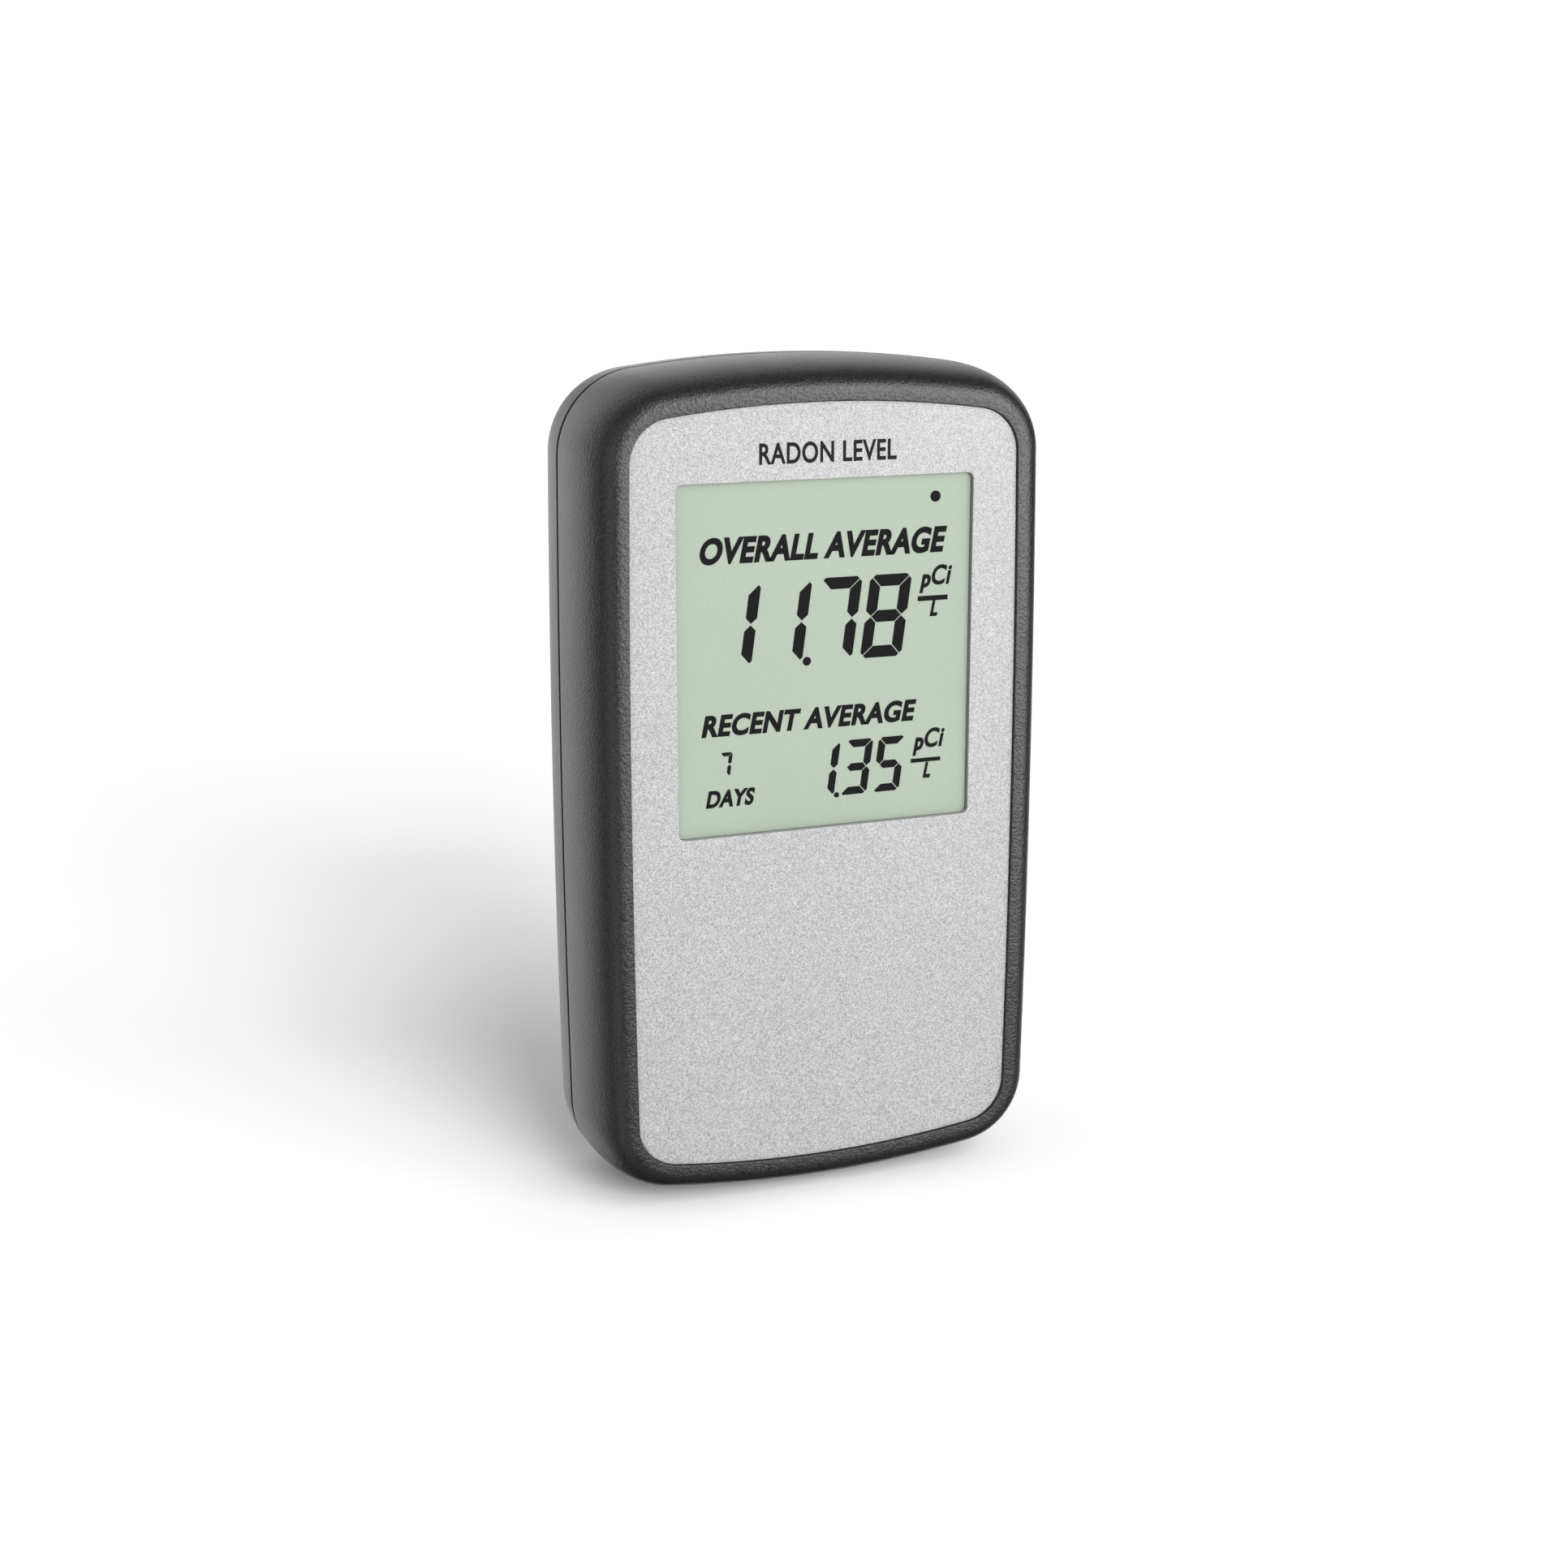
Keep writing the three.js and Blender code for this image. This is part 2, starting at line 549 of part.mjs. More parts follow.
/** A cell with its positive end towards -X when direction is -1, or towards +X when it is 1. */
function cell(direction) {
  const shoulder = cellFlatEnd + CELL_BODY_LENGTH;
  const body = turned([
    [0, cellFlatEnd],
    [CELL_RADIUS - CELL_EDGE, cellFlatEnd],
    [CELL_RADIUS, cellFlatEnd + CELL_EDGE],
    [CELL_RADIUS, shoulder - CELL_EDGE],
    [CELL_RADIUS - CELL_EDGE, shoulder],
    [CELL_NUB_RADIUS, shoulder],
    [CELL_NUB_RADIUS, cellNubTip],
    [0, cellNubTip],
  ]);
  return body.rotateZ((-direction * Math.PI) / 2);
}

/** Conical coil between a contact plate and a cell's flat end, along +Y before it is turned. */
class CoilCurve extends THREE.Curve {
  constructor(start, end) {
    super();
    this.start = start;
    this.end = end;
  }

  getPoint(t, target = new THREE.Vector3()) {
    const radius = SPRING.wide + (SPRING.narrow - SPRING.wide) * t;
    const angle = t * SPRING.turns * 2 * Math.PI;
    const y = this.start + (this.end - this.start) * t;
    return target.set(radius * Math.cos(angle), y, radius * Math.sin(angle));
  }
}

function contactSpring(direction) {
  const section = new THREE.Shape();
  for (let i = 0; i < SPRING.sides; i += 1) {
    const angle = (i * 2 * Math.PI) / SPRING.sides;
    const [x, y] = [SPRING.wire * Math.cos(angle), SPRING.wire * Math.sin(angle)];
    if (i === 0) section.moveTo(x, y);
    else section.lineTo(x, y);
  }
  const plateSide = -contactInnerX + GAP + SPRING.wire;
  const cellSide = cellFlatEnd - GAP - SPRING.wire;
  const coil = new THREE.ExtrudeGeometry(section, {
    steps: SPRING.steps, extrudePath: new CoilCurve(plateSide, cellSide), bevelEnabled: false,
  });
  return coil.rotateZ((-direction * Math.PI) / 2);
}

/** A plate on the left (-1) or right (1) bay wall that serves one cell or links two. */
function contactPlate(side, firstCell, lastCell) {
  const [x0, x1] = [side * contactInnerX, side * contactOuterX].sort((a, b) => a - b);
  const zOf = (cellNumber) => BAY_CENTRE_Z + (cellNumber - 1) * CELL_PITCH;
  return block(
    [x0, CELL_CENTRE_Y - CONTACT_HALF_SIZE, zOf(firstCell) - CONTACT_HALF_SIZE],
    [x1, CELL_CENTRE_Y + CONTACT_HALF_SIZE, zOf(lastCell) + CONTACT_HALF_SIZE],
  );
}

// ---------------------------------------------------------------- display stack

const glassFrontY = PANEL_BACK_Y + GAP;
const glassBackY = glassFrontY + GLASS_THICKNESS;
const stackFrontY = glassBackY + GAP;
const stackBackY = BOARD_FRONT_Y - GAP;

/** A flat rectangle centred on the display, from y0 to y1, moved up by dz. */
function displaySlab(halfWidth, halfHeight, y0, y1, dz = 0) {
  const z = WINDOW_CENTRE_Z + dz;
  return block([-halfWidth, y0, z - halfHeight], [halfWidth, y1, z + halfHeight]);
}

function displayCarrier() {
  const outside = displaySlab(GLASS_HALF_WIDTH, GLASS_HALF_HEIGHT, stackFrontY, stackBackY);
  const inside = displaySlab(
    GLASS_HALF_WIDTH - CARRIER_WALL, GLASS_HALF_HEIGHT - CARRIER_WALL,
    stackFrontY - CUT_MARGIN, stackBackY + CUT_MARGIN,
  );
  return toGeometry(toSolid(outside).subtract(toSolid(inside)));
}

// ---------------------------------------------------------------- board, sensor, switches, screws

function mainBoard() {
  const board = block(
    [-BOARD_HALF_WIDTH, BOARD_FRONT_Y, BOARD_BOTTOM_Z], [BOARD_HALF_WIDTH, BOARD_BACK_Y, BOARD_TOP_Z],
  );
  const holes = boardScrewPlaces.map(([x, z]) => (
    rod(x, z, BOARD_HOLE_RADIUS, BOARD_FRONT_Y - CUT_MARGIN, BOARD_BACK_Y + CUT_MARGIN, SMALL_SIDES)
  ));
  return toGeometry(cutAll(toSolid(board), holes));
}

/** An oblong package standing on the board, made smaller by trim on its sides and top. */
function chip({ x, z, width, height, thickness }, trim = 0) {
  return block(
    [x - width / 2 + trim, SOLDERED_Y, z - height / 2 + trim],
    [x + width / 2 - trim, SOLDERED_Y + thickness - trim, z + height / 2 - trim],
  );
}

/** A thin can, open towards the board. */
function sensorShield() {
  const hollow = chip(SHIELD, SHIELD_WALL);
  const mouth = hollow.clone().translate(0, -SHIELD_WALL, 0);
  return toGeometry(cutAll(toSolid(chip(SHIELD)), [hollow, mouth]));
}

function chamberCup() {
  const startY = SOLDERED_Y + GASKET_THICKNESS + GAP;
  const innerRadius = CHAMBER_RADIUS - CHAMBER_WALL;
  const cup = turned([
    [0, CHAMBER_BACK_Y - CHAMBER_WALL],
    [innerRadius, CHAMBER_BACK_Y - CHAMBER_WALL],
    [innerRadius, startY],
    [CHAMBER_RADIUS, startY],
    [CHAMBER_RADIUS, CHAMBER_BACK_Y],
    [0, CHAMBER_BACK_Y],
  ]);
  const ports = [];
  for (let i = 0; i < CHAMBER_PORTS; i += 1) {
    const angle = (i * 2 * Math.PI) / CHAMBER_PORTS;
    ports.push(rod(
      CHAMBER_PORT_CIRCLE * Math.cos(angle), CHAMBER_PORT_CIRCLE * Math.sin(angle), CHAMBER_PORT_RADIUS,
      CHAMBER_BACK_Y - 2 * CHAMBER_WALL, CHAMBER_BACK_Y + CUT_MARGIN, SMALL_SIDES,
    ));
  }
  return toGeometry(cutAll(toSolid(cup), ports)).translate(CHAMBER_X, 0, CHAMBER_Z);
}

function chamberGasket() {
  const inner = CHAMBER_RADIUS - CHAMBER_WALL;
  const endY = SOLDERED_Y + GASKET_THICKNESS;
  const ring = turned([
    [inner, SOLDERED_Y],
    [CHAMBER_RADIUS, SOLDERED_Y],
    [CHAMBER_RADIUS, endY],
    [inner, endY],
    [inner, SOLDERED_Y],
  ]);
  return ring.translate(CHAMBER_X, 0, CHAMBER_Z);
}

function pinButton(x) {
  const faceY = BACK_Y - BUTTON.recess;
  const flangeBackY = REAR_INNER_Y - GAP;
  const flangeFrontY = flangeBackY - BUTTON.flangeHeight;
  const tipY = SWITCH_TOP_Y + BUTTON_TRAVEL + GAP;
  return turned([
    [0, tipY],
    [BUTTON.stem, tipY],
    [BUTTON.stem, flangeFrontY],
    [BUTTON.flange, flangeFrontY],
    [BUTTON.flange, flangeBackY],
    [BUTTON.cap, flangeBackY],
    [BUTTON.cap, faceY],
    [0, faceY],
  ]).translate(x, 0, BUTTON_Z);
}

/** A pan-head screw driven from the back, its head seated on the plane y = seatY. */
function screw({ shank, head, headHeight, length, slot }, x, z, seatY) {
  const body = turned([
    [0, seatY - length],
    [shank, seatY - length],
    [shank, seatY],
    [head, seatY],
    [head, seatY + headHeight],
    [0, seatY + headHeight],
  ], SMALL_SIDES);
  const reach = head - slot;
  const arms = [[reach, slot / 2], [slot / 2, reach]].map(([dx, dz]) => (
    block([-dx, seatY + headHeight / 2, -dz], [dx, seatY + headHeight + CUT_MARGIN, dz])
  ));
  return toGeometry(cutAll(toSolid(body), arms)).translate(x, 0, z);
}

// ---------------------------------------------------------------- assembly

const monitor = new THREE.Group();

/** Put a named piece into an assembly. */
function add(assembly, name, geometry, finish) {
  const piece = welded(geometry);
  piece.computeVertexNormals();
  const mesh = new THREE.Mesh(piece, finish);
  mesh.name = name;
  assembly.add(mesh);
}

const enclosure = new THREE.Group();
add(enclosure, 'front_frame', frontFrame(), graphitePlastic());
add(enclosure, 'front_panel', frontPanel(), silverFinish());
add(enclosure, 'rear_shell', rearShell(), graphitePlastic());
add(enclosure, 'battery_cover', batteryCover(), graphitePlastic());
add(enclosure, 'blank_label', block(
  [LABEL_X - LABEL_WIDTH / 2, BACK_Y - LABEL_RECESS + GAP, LABEL_Z - LABEL_HEIGHT / 2],
  [LABEL_X + LABEL_WIDTH / 2, BACK_Y - LABEL_RECESS + GAP + LABEL_THICKNESS, LABEL_Z + LABEL_HEIGHT / 2],
), labelPaper());
caseScrewPlaces.forEach(([x, z], i) => {
  add(enclosure, `case_screw_${i + 1}`, screw(CASE_SCREW, x, z, COUNTERBORE_Y + GAP), steel());
});
monitor.add(enclosure);

const display = new THREE.Group();
add(display, 'lcd_glass', displaySlab(
  GLASS_HALF_WIDTH, GLASS_HALF_HEIGHT, glassFrontY, glassBackY,
), displayGlass());
add(display, 'lcd_reflector', displaySlab(
  REFLECTOR_HALF_WIDTH, REFLECTOR_HALF_HEIGHT, stackFrontY, stackFrontY + REFLECTOR_THICKNESS,
), labelPaper());
add(display, 'lcd_carrier', displayCarrier(), blackPlastic());
[['upper', 1], ['lower', -1]].forEach(([place, side]) => {
  add(display, `contact_strip_${place}`, displaySlab(
    ZEBRA_HALF_WIDTH, ZEBRA_HEIGHT / 2 - HALF_GAP, stackFrontY, stackBackY, side * ZEBRA_OFFSET,
  ), rubberGrey());
});
monitor.add(display);

const electronics = new THREE.Group();
add(electronics, 'main_board', mainBoard(), boardGreen());
add(electronics, 'microcontroller', chip(MICROCONTROLLER), blackPlastic());
add(electronics, 'amplifier_chip', chip(AMPLIFIER), blackPlastic());
add(electronics, 'sensor_shield', sensorShield(), steel());
add(electronics, 'clock_crystal', chip(CRYSTAL), steel());
add(electronics, 'storage_capacitor', rod(
  CAPACITOR.x, CAPACITOR.z, CAPACITOR.radius, SOLDERED_Y, SOLDERED_Y + CAPACITOR.length,
), steel());
BUTTONS.forEach(({ name, x }) => {
  add(electronics, `${name}_switch`, chip({ ...SWITCH, x, z: BUTTON_Z }), blackPlastic());
  add(electronics, `${name}_button`, pinButton(x), rubberGrey());
});
boardScrewPlaces.forEach(([x, z], i) => {
  add(electronics, `board_screw_${i + 1}`, screw(BOARD_SCREW, x, z, BOARD_BACK_Y + GAP), steel());
});
monitor.add(electronics);

const sensor = new THREE.Group();
add(sensor, 'photodiode', chip(PHOTODIODE), blackPlastic());
add(sensor, 'chamber_gasket', chamberGasket(), rubberGrey());
add(sensor, 'chamber_cup', chamberCup(), blackPlastic());
add(sensor, 'inlet_filter', rod(
  CHAMBER_X, CHAMBER_Z, FILTER_RADIUS, CHAMBER_BACK_Y + GAP, CHAMBER_BACK_Y + GAP + FILTER_THICKNESS,
), filterFelt());
monitor.add(sensor);

// Cells in series, turned end for end, so springs and flat contacts alternate.
const power = new THREE.Group();
[-1, 1, -1].forEach((direction, i) => {
  const z = BAY_CENTRE_Z + (i - 1) * CELL_PITCH;
  add(power, `battery_${i + 1}`, cell(direction).translate(0, CELL_CENTRE_Y, z), cellJacket());
  add(power, `contact_spring_${i + 1}`, contactSpring(direction).translate(0, CELL_CENTRE_Y, z), steel());
});
add(power, 'terminal_plate_positive', contactPlate(-1, 0, 0), steel());
add(power, 'link_plate_left', contactPlate(-1, 1, 2), steel());
add(power, 'link_plate_right', contactPlate(1, 0, 1), steel());
add(power, 'terminal_plate_negative', contactPlate(1, 2, 2), steel());
monitor.add(power);

export default monitor;
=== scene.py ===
"""Looks for a palm-sized radon gas monitor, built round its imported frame.

Lengths in this script are millimetres and are turned into metres where a mesh is made. +Z is up,
the display faces -Y, and the origin is the middle of the footprint under the lower edge.
"""

import math

import bmesh
import bpy
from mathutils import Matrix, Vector


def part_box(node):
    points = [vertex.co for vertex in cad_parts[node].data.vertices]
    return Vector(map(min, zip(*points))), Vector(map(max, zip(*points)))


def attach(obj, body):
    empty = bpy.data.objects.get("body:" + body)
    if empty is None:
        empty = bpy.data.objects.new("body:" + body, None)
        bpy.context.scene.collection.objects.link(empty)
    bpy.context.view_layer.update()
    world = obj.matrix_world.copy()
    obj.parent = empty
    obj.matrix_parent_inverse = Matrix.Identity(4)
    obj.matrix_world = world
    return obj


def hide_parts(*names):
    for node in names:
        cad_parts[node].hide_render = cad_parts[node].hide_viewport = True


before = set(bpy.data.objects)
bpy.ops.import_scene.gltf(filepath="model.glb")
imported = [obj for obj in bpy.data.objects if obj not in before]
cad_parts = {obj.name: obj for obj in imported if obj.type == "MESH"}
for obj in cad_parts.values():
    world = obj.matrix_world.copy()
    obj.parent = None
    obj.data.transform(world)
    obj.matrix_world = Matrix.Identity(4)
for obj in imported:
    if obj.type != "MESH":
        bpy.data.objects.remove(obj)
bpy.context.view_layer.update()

MM = 0.001


# ---------------------------------------------------------------- sizes taken from the frame


def extent(node):
    """The lowest and highest corner of a CAD node, in millimetres."""
    low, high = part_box(node)
    return low / MM, high / MM


FRAME_LOW, FRAME_HIGH = extent("front_frame")
PANEL_LOW, _ = extent("front_panel")
_, SHELL_HIGH = extent("rear_shell")
GLASS_LOW, GLASS_HIGH = extent("lcd_glass")
COVER_LOW, COVER_HIGH = extent("battery_cover")
LABEL_LOW, LABEL_HIGH = extent("blank_label")

FORWARD = Vector((0, -1, 0))
BACKWARD = Vector((0, 1, 0))

# Clearance between neighbouring pieces.
GAP = 0.3

CASE_WIDTH = 69.0
CASE_HEIGHT = 120.0
FRONT_Y = FRAME_LOW.y
BACK_Y = SHELL_HIGH.y

# Outline: four shallow arcs joined by four corner arcs. The centres of the right-hand side's arc
# and of the top's arc are measured from the middle of the case.
SIDE_RADIUS = 2589.0
CAP_RADIUS = 176.4
CORNER_RADIUS = 12.0
SIDE_STEPS, CORNER_STEPS, CAP_STEPS = 10, 18, 20
SIDE_X = CASE_WIDTH / 2 - SIDE_RADIUS
CAP_Z = CASE_HEIGHT / 2 - CAP_RADIUS

# Section of the case: superellipse flanks on either side of the seam.
CREST_INSET, CREST_EXPONENT = 4.6, 2.35
BACK_INSET, BACK_EXPONENT = 5.5, 2.9
FLANK_STEPS = 30
EDGE_RADIUS = 0.14
WALL = 2.4

# The seam, and the (inset, depth) pairs of a groove in each half's seam face that keeps it dark.
SEAM_Y = FRAME_HIGH.y + GAP / 2
SEAM_HALF_GAP = 0.32
SEAM_RELIEF = ((0.55, 1.3), (0.9, 1.3), (1.4, 0.0))

# The frame's inner edge, and the panel, whose face stands a little prouder than in CAD.
PANEL_RISE = 0.2
PANEL_Y = PANEL_LOW.y - PANEL_RISE
PANEL_THICKNESS = 1.2
PANEL_INSET = 5.7
PANEL_CHAMFER = 0.13
POCKET_INSET = 5.66
BEZEL_DROP = 0.04
BEZEL_EDGE = 0.08
BEZEL_STEPS = 8
LEDGE_INSET, LEDGE_THICKNESS = 7.3, 1.8
WINDOW = {"x": -0.08, "z": 79.33, "half_w": 21.9, "half_h": 24.52, "radius": 0.9}
WINDOW_EDGE = 0.1

# The display glass, and its front film, which stands forward into the window.
GLASS_CORNER, GLASS_BEVEL = 0.6, 0.12
FILM_RISE = 0.65
FILM_Y = GLASS_LOW.y - FILM_RISE
FILM_GAP, FILM_BEVEL = 0.05, 0.05

# Rear shell. Its inner curve is (inset, depth) pairs from the back to the wall.
BACK_WALL = 2.0
INNER_Y = BACK_Y - BACK_WALL
INNER_CURVE = ((3.9, 0.0), (2.9, 0.4), (WALL, 1.6))
LIP_INSET, LIP_THICKNESS, LIP_REACH, LIP_ROOT = 2.7, 1.2, 1.5, 2.5
HOLE_EDGE = 0.3
KEYHOLE = {"z": 101.5, "radius": 4.2, "slot": 2.2, "top": 107.0}
POCKET = {"x": 0.0, "z": 103.3, "half_w": 5.2, "half_h": 6.7, "radius": 0.5}
POCKET_FLOOR_Y = 6.3
POCKET_WALL = 1.2
SLOT = {"half_w": 6.5, "half_h": 0.8, "radius": 0.75}
SLOT_PITCH = 3.4
SLOT_COUNT = 5
CHAMBER_X, CHAMBER_Z = -10.0, 79.0
COUNTERBORE_RADIUS = 3.0
COUNTERBORE_Y = 6.0
SCREW_HOLE_RADIUS = 1.6
POST_RADIUS = 4.0
POST_END_Y = 2.3
BUTTON_HOLE_RADIUS = 2.0
BUTTON_GUIDE_INNER, BUTTON_GUIDE_OUTER, BUTTON_GUIDE_END_Y = 3.1, 4.0, 1.6

# Battery bay and its cover.
BAY = {"x": 0.0, "z": 36.5, "half_w": 26.5, "half_h": 17.0, "radius": 0.8}
BAY_EDGE = 0.2
BAY_FLOOR_Y = 0.2
BAY_WALL = 1.4
COVER_THICKNESS = 1.45
COVER_LEDGE = 1.0
COVER_EDGE = 0.25
COVER_INNER_Y = BACK_Y - COVER_THICKNESS
COVER_SEAT_Y = COVER_HIGH.y - COVER_THICKNESS - GAP
GRIP = {"count": 5, "pitch": 1.8, "half_w": 8.0, "width": 0.9, "depth": 0.6, "top_inset": 4.5}
GRIP_CORNER, GRIP_EDGE, GRIP_TAPER = 0.4, 0.2, 0.15
LEG = {"half_w": 5.0, "thickness": 0.8}
LEG_CORNER, LEG_TIP, LEG_TAPER = 0.15, 0.2, 0.12

# Rear label and its recess.
LABEL_CORNER, LABEL_EDGE = 0.8, 0.05
LABEL_RECESS, LABEL_RECESS_EDGE = 0.65, 0.15

# Screws, cells and springs.
SCREW_HEAD_HEIGHT = 2.0
NUB_RADIUS, NUB_LENGTH = 1.9, 1.0
WIRE = 0.4
COIL_WIDE, COIL_NARROW = 3.0, 2.2

# Characters on the display and the panel. The display's ink lies just clear of the film.
INK_THICKNESS, INK_GAP = 0.03, 0.004
INK_BACK_Y = FILM_Y - INK_GAP
INK_FRONT_Y = INK_BACK_Y - INK_THICKNESS
DIGIT_SLANT = 0.136
LETTER_SLANT = 0.2
LETTER_SPACING = 1.061
FONT_CAP_HEIGHT = 0.682


def centre(node):
    low, high = extent(node)
    return (low + high) / 2


SCREW_PLACES = [centre(f"case_screw_{i}") for i in range(1, 5)]
BUTTON_PLACES = {name: centre(f"{name}_button") for name in ("reset", "mode")}


# ---------------------------------------------------------------- mesh helpers


MERGE_DISTANCE = 1e-4
SHARP_ANGLE = math.radians(40)


def new_object(name, bm, material, sharp_angle=SHARP_ANGLE):
    """Turns a bmesh in millimetres into an object in metres, smooth except at sharp edges."""
    bmesh.ops.remove_doubles(bm, verts=bm.verts, dist=MERGE_DISTANCE)
    bmesh.ops.recalc_face_normals(bm, faces=bm.faces)
    for face in bm.faces:
        face.smooth = True
    for edge in bm.edges:
        if len(edge.link_faces) == 2 and edge.calc_face_angle(0) > sharp_angle:
            edge.smooth = False
    bmesh.ops.scale(bm, vec=Vector((MM, MM, MM)), verts=bm.verts)
    mesh = bpy.data.meshes.new(name)
    bm.to_mesh(mesh)
    bm.free()
    obj = bpy.data.objects.new(name, mesh)
    bpy.context.scene.collection.objects.link(obj)
    mesh.materials.append(material)
    return obj


def weigh_normals(obj):
    """Lets the large flat faces decide the shading next to their narrow edges; returns obj."""
    modifier = obj.modifiers.new("flat_faces_rule", "WEIGHTED_NORMAL")
    modifier.mode = "FACE_AREA"
    modifier.keep_sharp = True
    return obj


def stand_in(piece, body, node):
    """Puts a piece on a body in place of a CAD node."""
    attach(piece, body)
    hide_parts(node)


def add_ring(bm, points):
    return [bm.verts.new(p) for p in points]


def bridge(bm, ring_a, ring_b):
    count = len(ring_a)
    for i in range(count):
        j = (i + 1) % count
        bm.faces.new((ring_a[i], ring_a[j], ring_b[j], ring_b[i]))


def bridge_all(bm, rings, closed=False):
    for a, b in zip(rings, rings[1:]):
        bridge(bm, a, b)
    if closed:
        bridge(bm, rings[-1], rings[0])


def fill(bm, loops, normal):
    """Fills the flat region between closed loops of vertices: an outline and its holes."""
    edges = []
    for loop in loops:
        for i, vert in enumerate(loop):
            other = loop[(i + 1) % len(loop)]
            edges.append(bm.edges.get((vert, other)) or bm.edges.new((vert, other)))
    bmesh.ops.triangle_fill(bm, use_beauty=True, use_dissolve=False, edges=edges, normal=normal)


def rounded_rect(x, z, half_w, half_h, radius, least_radius=0.02, steps=5):
    """A rounded rectangle as a shape: a function that gives its points (x, z) grown evenly."""
    def points(grow):
        r = max(radius + grow, least_radius)
        w, h = half_w + grow - r, half_h + grow - r
        found = []
        for quarter, (sx, sz) in enumerate(((1, 1), (-1, 1), (-1, -1), (1, -1))):
            for i in range(steps + 1):
                a = math.pi / 2 * (quarter + i / steps)
                found.append((x + sx * w + r * math.cos(a), z + sz * h + r * math.sin(a)))
        return found

    return points


def box_outline(low, high, radius, margin=0.0):
    """A rounded rectangle as a shape, as wide and high as a box with a margin round it."""
    middle, half = (low + high) / 2, (high - low) / 2
    return rounded_rect(middle.x, middle.z, half.x + margin, half.z + margin, radius)


def circle(x, z, radius, steps=36):
    angles = [2 * math.pi * i / steps for i in range(steps)]
    return [(x + radius * math.cos(a), z + radius * math.sin(a)) for a in angles]


def round_at(place):
    """A circle round a place as a shape: a function that gives its points (x, z) at a radius."""
    return lambda radius: circle(place.x, place.z, radius)


def keyhole(grow, steps=30):
    """The shape of a round mouth with a narrower slot above it: its points (x, z)."""
    big, small = KEYHOLE["radius"] + grow, KEYHOLE["slot"] + grow
    neck = math.asin(small / big)
    points = []
    for i in range(steps + 1):
        a = math.pi / 2 + neck + (2 * math.pi - 2 * neck) * i / steps
        points.append((big * math.cos(a), KEYHOLE["z"] + big * math.sin(a)))
    for i in range(steps // 2 + 1):
        a = math.pi * i / (steps // 2)
        points.append((small * math.cos(a), KEYHOLE["top"] + small * math.sin(a)))
    return points


def at_depth(points, y):
    return [(x, y, z) for x, z in points]


def quarter_turn(steps=4):
    """Shares of a quarter round: (sine, 1 - cosine) from 0 to 1."""
    for i in range(steps + 1):
        a = math.pi / 2 * i / steps
        yield math.sin(a), 1 - math.cos(a)


def soft_edge(size, share=0.3):
    """(along, depth) pairs of a small edge, from deep to shallow, with one point between."""
    return (0, size), (size * share, size * share), (size, 0)


def walls(bm, shape, path):
    """Walls round a shape that follow path, a list of (grow, y); returns their rings."""
    rings = [add_ring(bm, at_depth(shape(grow), y)) for grow, y in path]
    bridge_all(bm, rings)
    return rings


# ---------------------------------------------------------------- case outline and section


def corner_centre():
    """Centre of the upper right corner arc, tangent inside both the side arc and the cap arc."""
    r0, r1 = SIDE_RADIUS - CORNER_RADIUS, CAP_RADIUS - CORNER_RADIUS
    distance = math.hypot(SIDE_X, CAP_Z)
    along = (r0**2 - r1**2 + distance**2) / (2 * distance)
    across = math.sqrt(r0**2 - along**2)
    ux, uz = -SIDE_X / distance, CAP_Z / distance
    return SIDE_X + ux * along - uz * across, uz * along + ux * across


CORNER_X, CORNER_Z = corner_centre()
SIDE_ANGLE = math.atan2(CORNER_Z, CORNER_X - SIDE_X)
CAP_ANGLE = math.atan2(CORNER_Z - CAP_Z, CORNER_X)


def outline(inset):
    """Points (x, z) of the case outline drawn in by inset."""
    side, cap, corner = SIDE_RADIUS - inset, CAP_RADIUS - inset, CORNER_RADIUS - inset
    pi = math.pi
    arcs = (
        (SIDE_X, 0, side, -SIDE_ANGLE, SIDE_ANGLE, SIDE_STEPS),
        (CORNER_X, CORNER_Z, corner, SIDE_ANGLE, CAP_ANGLE, CORNER_STEPS),
        (0, CAP_Z, cap, CAP_ANGLE, pi - CAP_ANGLE, CAP_STEPS),
        (-CORNER_X, CORNER_Z, corner, pi - CAP_ANGLE, pi - SIDE_ANGLE, CORNER_STEPS),
        (-SIDE_X, 0, side, pi - SIDE_ANGLE, pi + SIDE_ANGLE, SIDE_STEPS),
        (-CORNER_X, -CORNER_Z, corner, pi + SIDE_ANGLE, pi + CAP_ANGLE, CORNER_STEPS),
        (0, -CAP_Z, cap, pi + CAP_ANGLE, 2 * pi - CAP_ANGLE, CAP_STEPS),
        (CORNER_X, -CORNER_Z, corner, 2 * pi - CAP_ANGLE, 2 * pi - SIDE_ANGLE, CORNER_STEPS),
    )
    points = []
    for x, z, radius, start, end, steps in arcs:
        for i in range(steps):
            a = start + (end - start) * i / steps
            points.append((x + radius * math.cos(a), z + radius * math.sin(a) + CASE_HEIGHT / 2))
    return points


def sweep(bm, section):
    """Rings of vertices round the outline, one for each (inset, y) of the section."""
    return [add_ring(bm, at_depth(outline(inset), y)) for inset, y in section]


def front_flank():
    """(inset, y) from the front crest back to the seam, ending in a small rounded edge."""
    depth = SEAM_Y - FRONT_Y
    power = 2 / CREST_EXPONENT
    section = []
    for i in range(FLANK_STEPS + 1):
        q = math.pi / 2 * i / FLANK_STEPS
        y = SEAM_Y - depth * math.cos(q) ** power
        if y < SEAM_Y - SEAM_HALF_GAP - EDGE_RADIUS:
            section.append((CREST_INSET * (1 - math.sin(q) ** power), y))
    for s, c in quarter_turn():
        section.append((EDGE_RADIUS * c, SEAM_Y - SEAM_HALF_GAP - EDGE_RADIUS * (1 - s)))
    return section


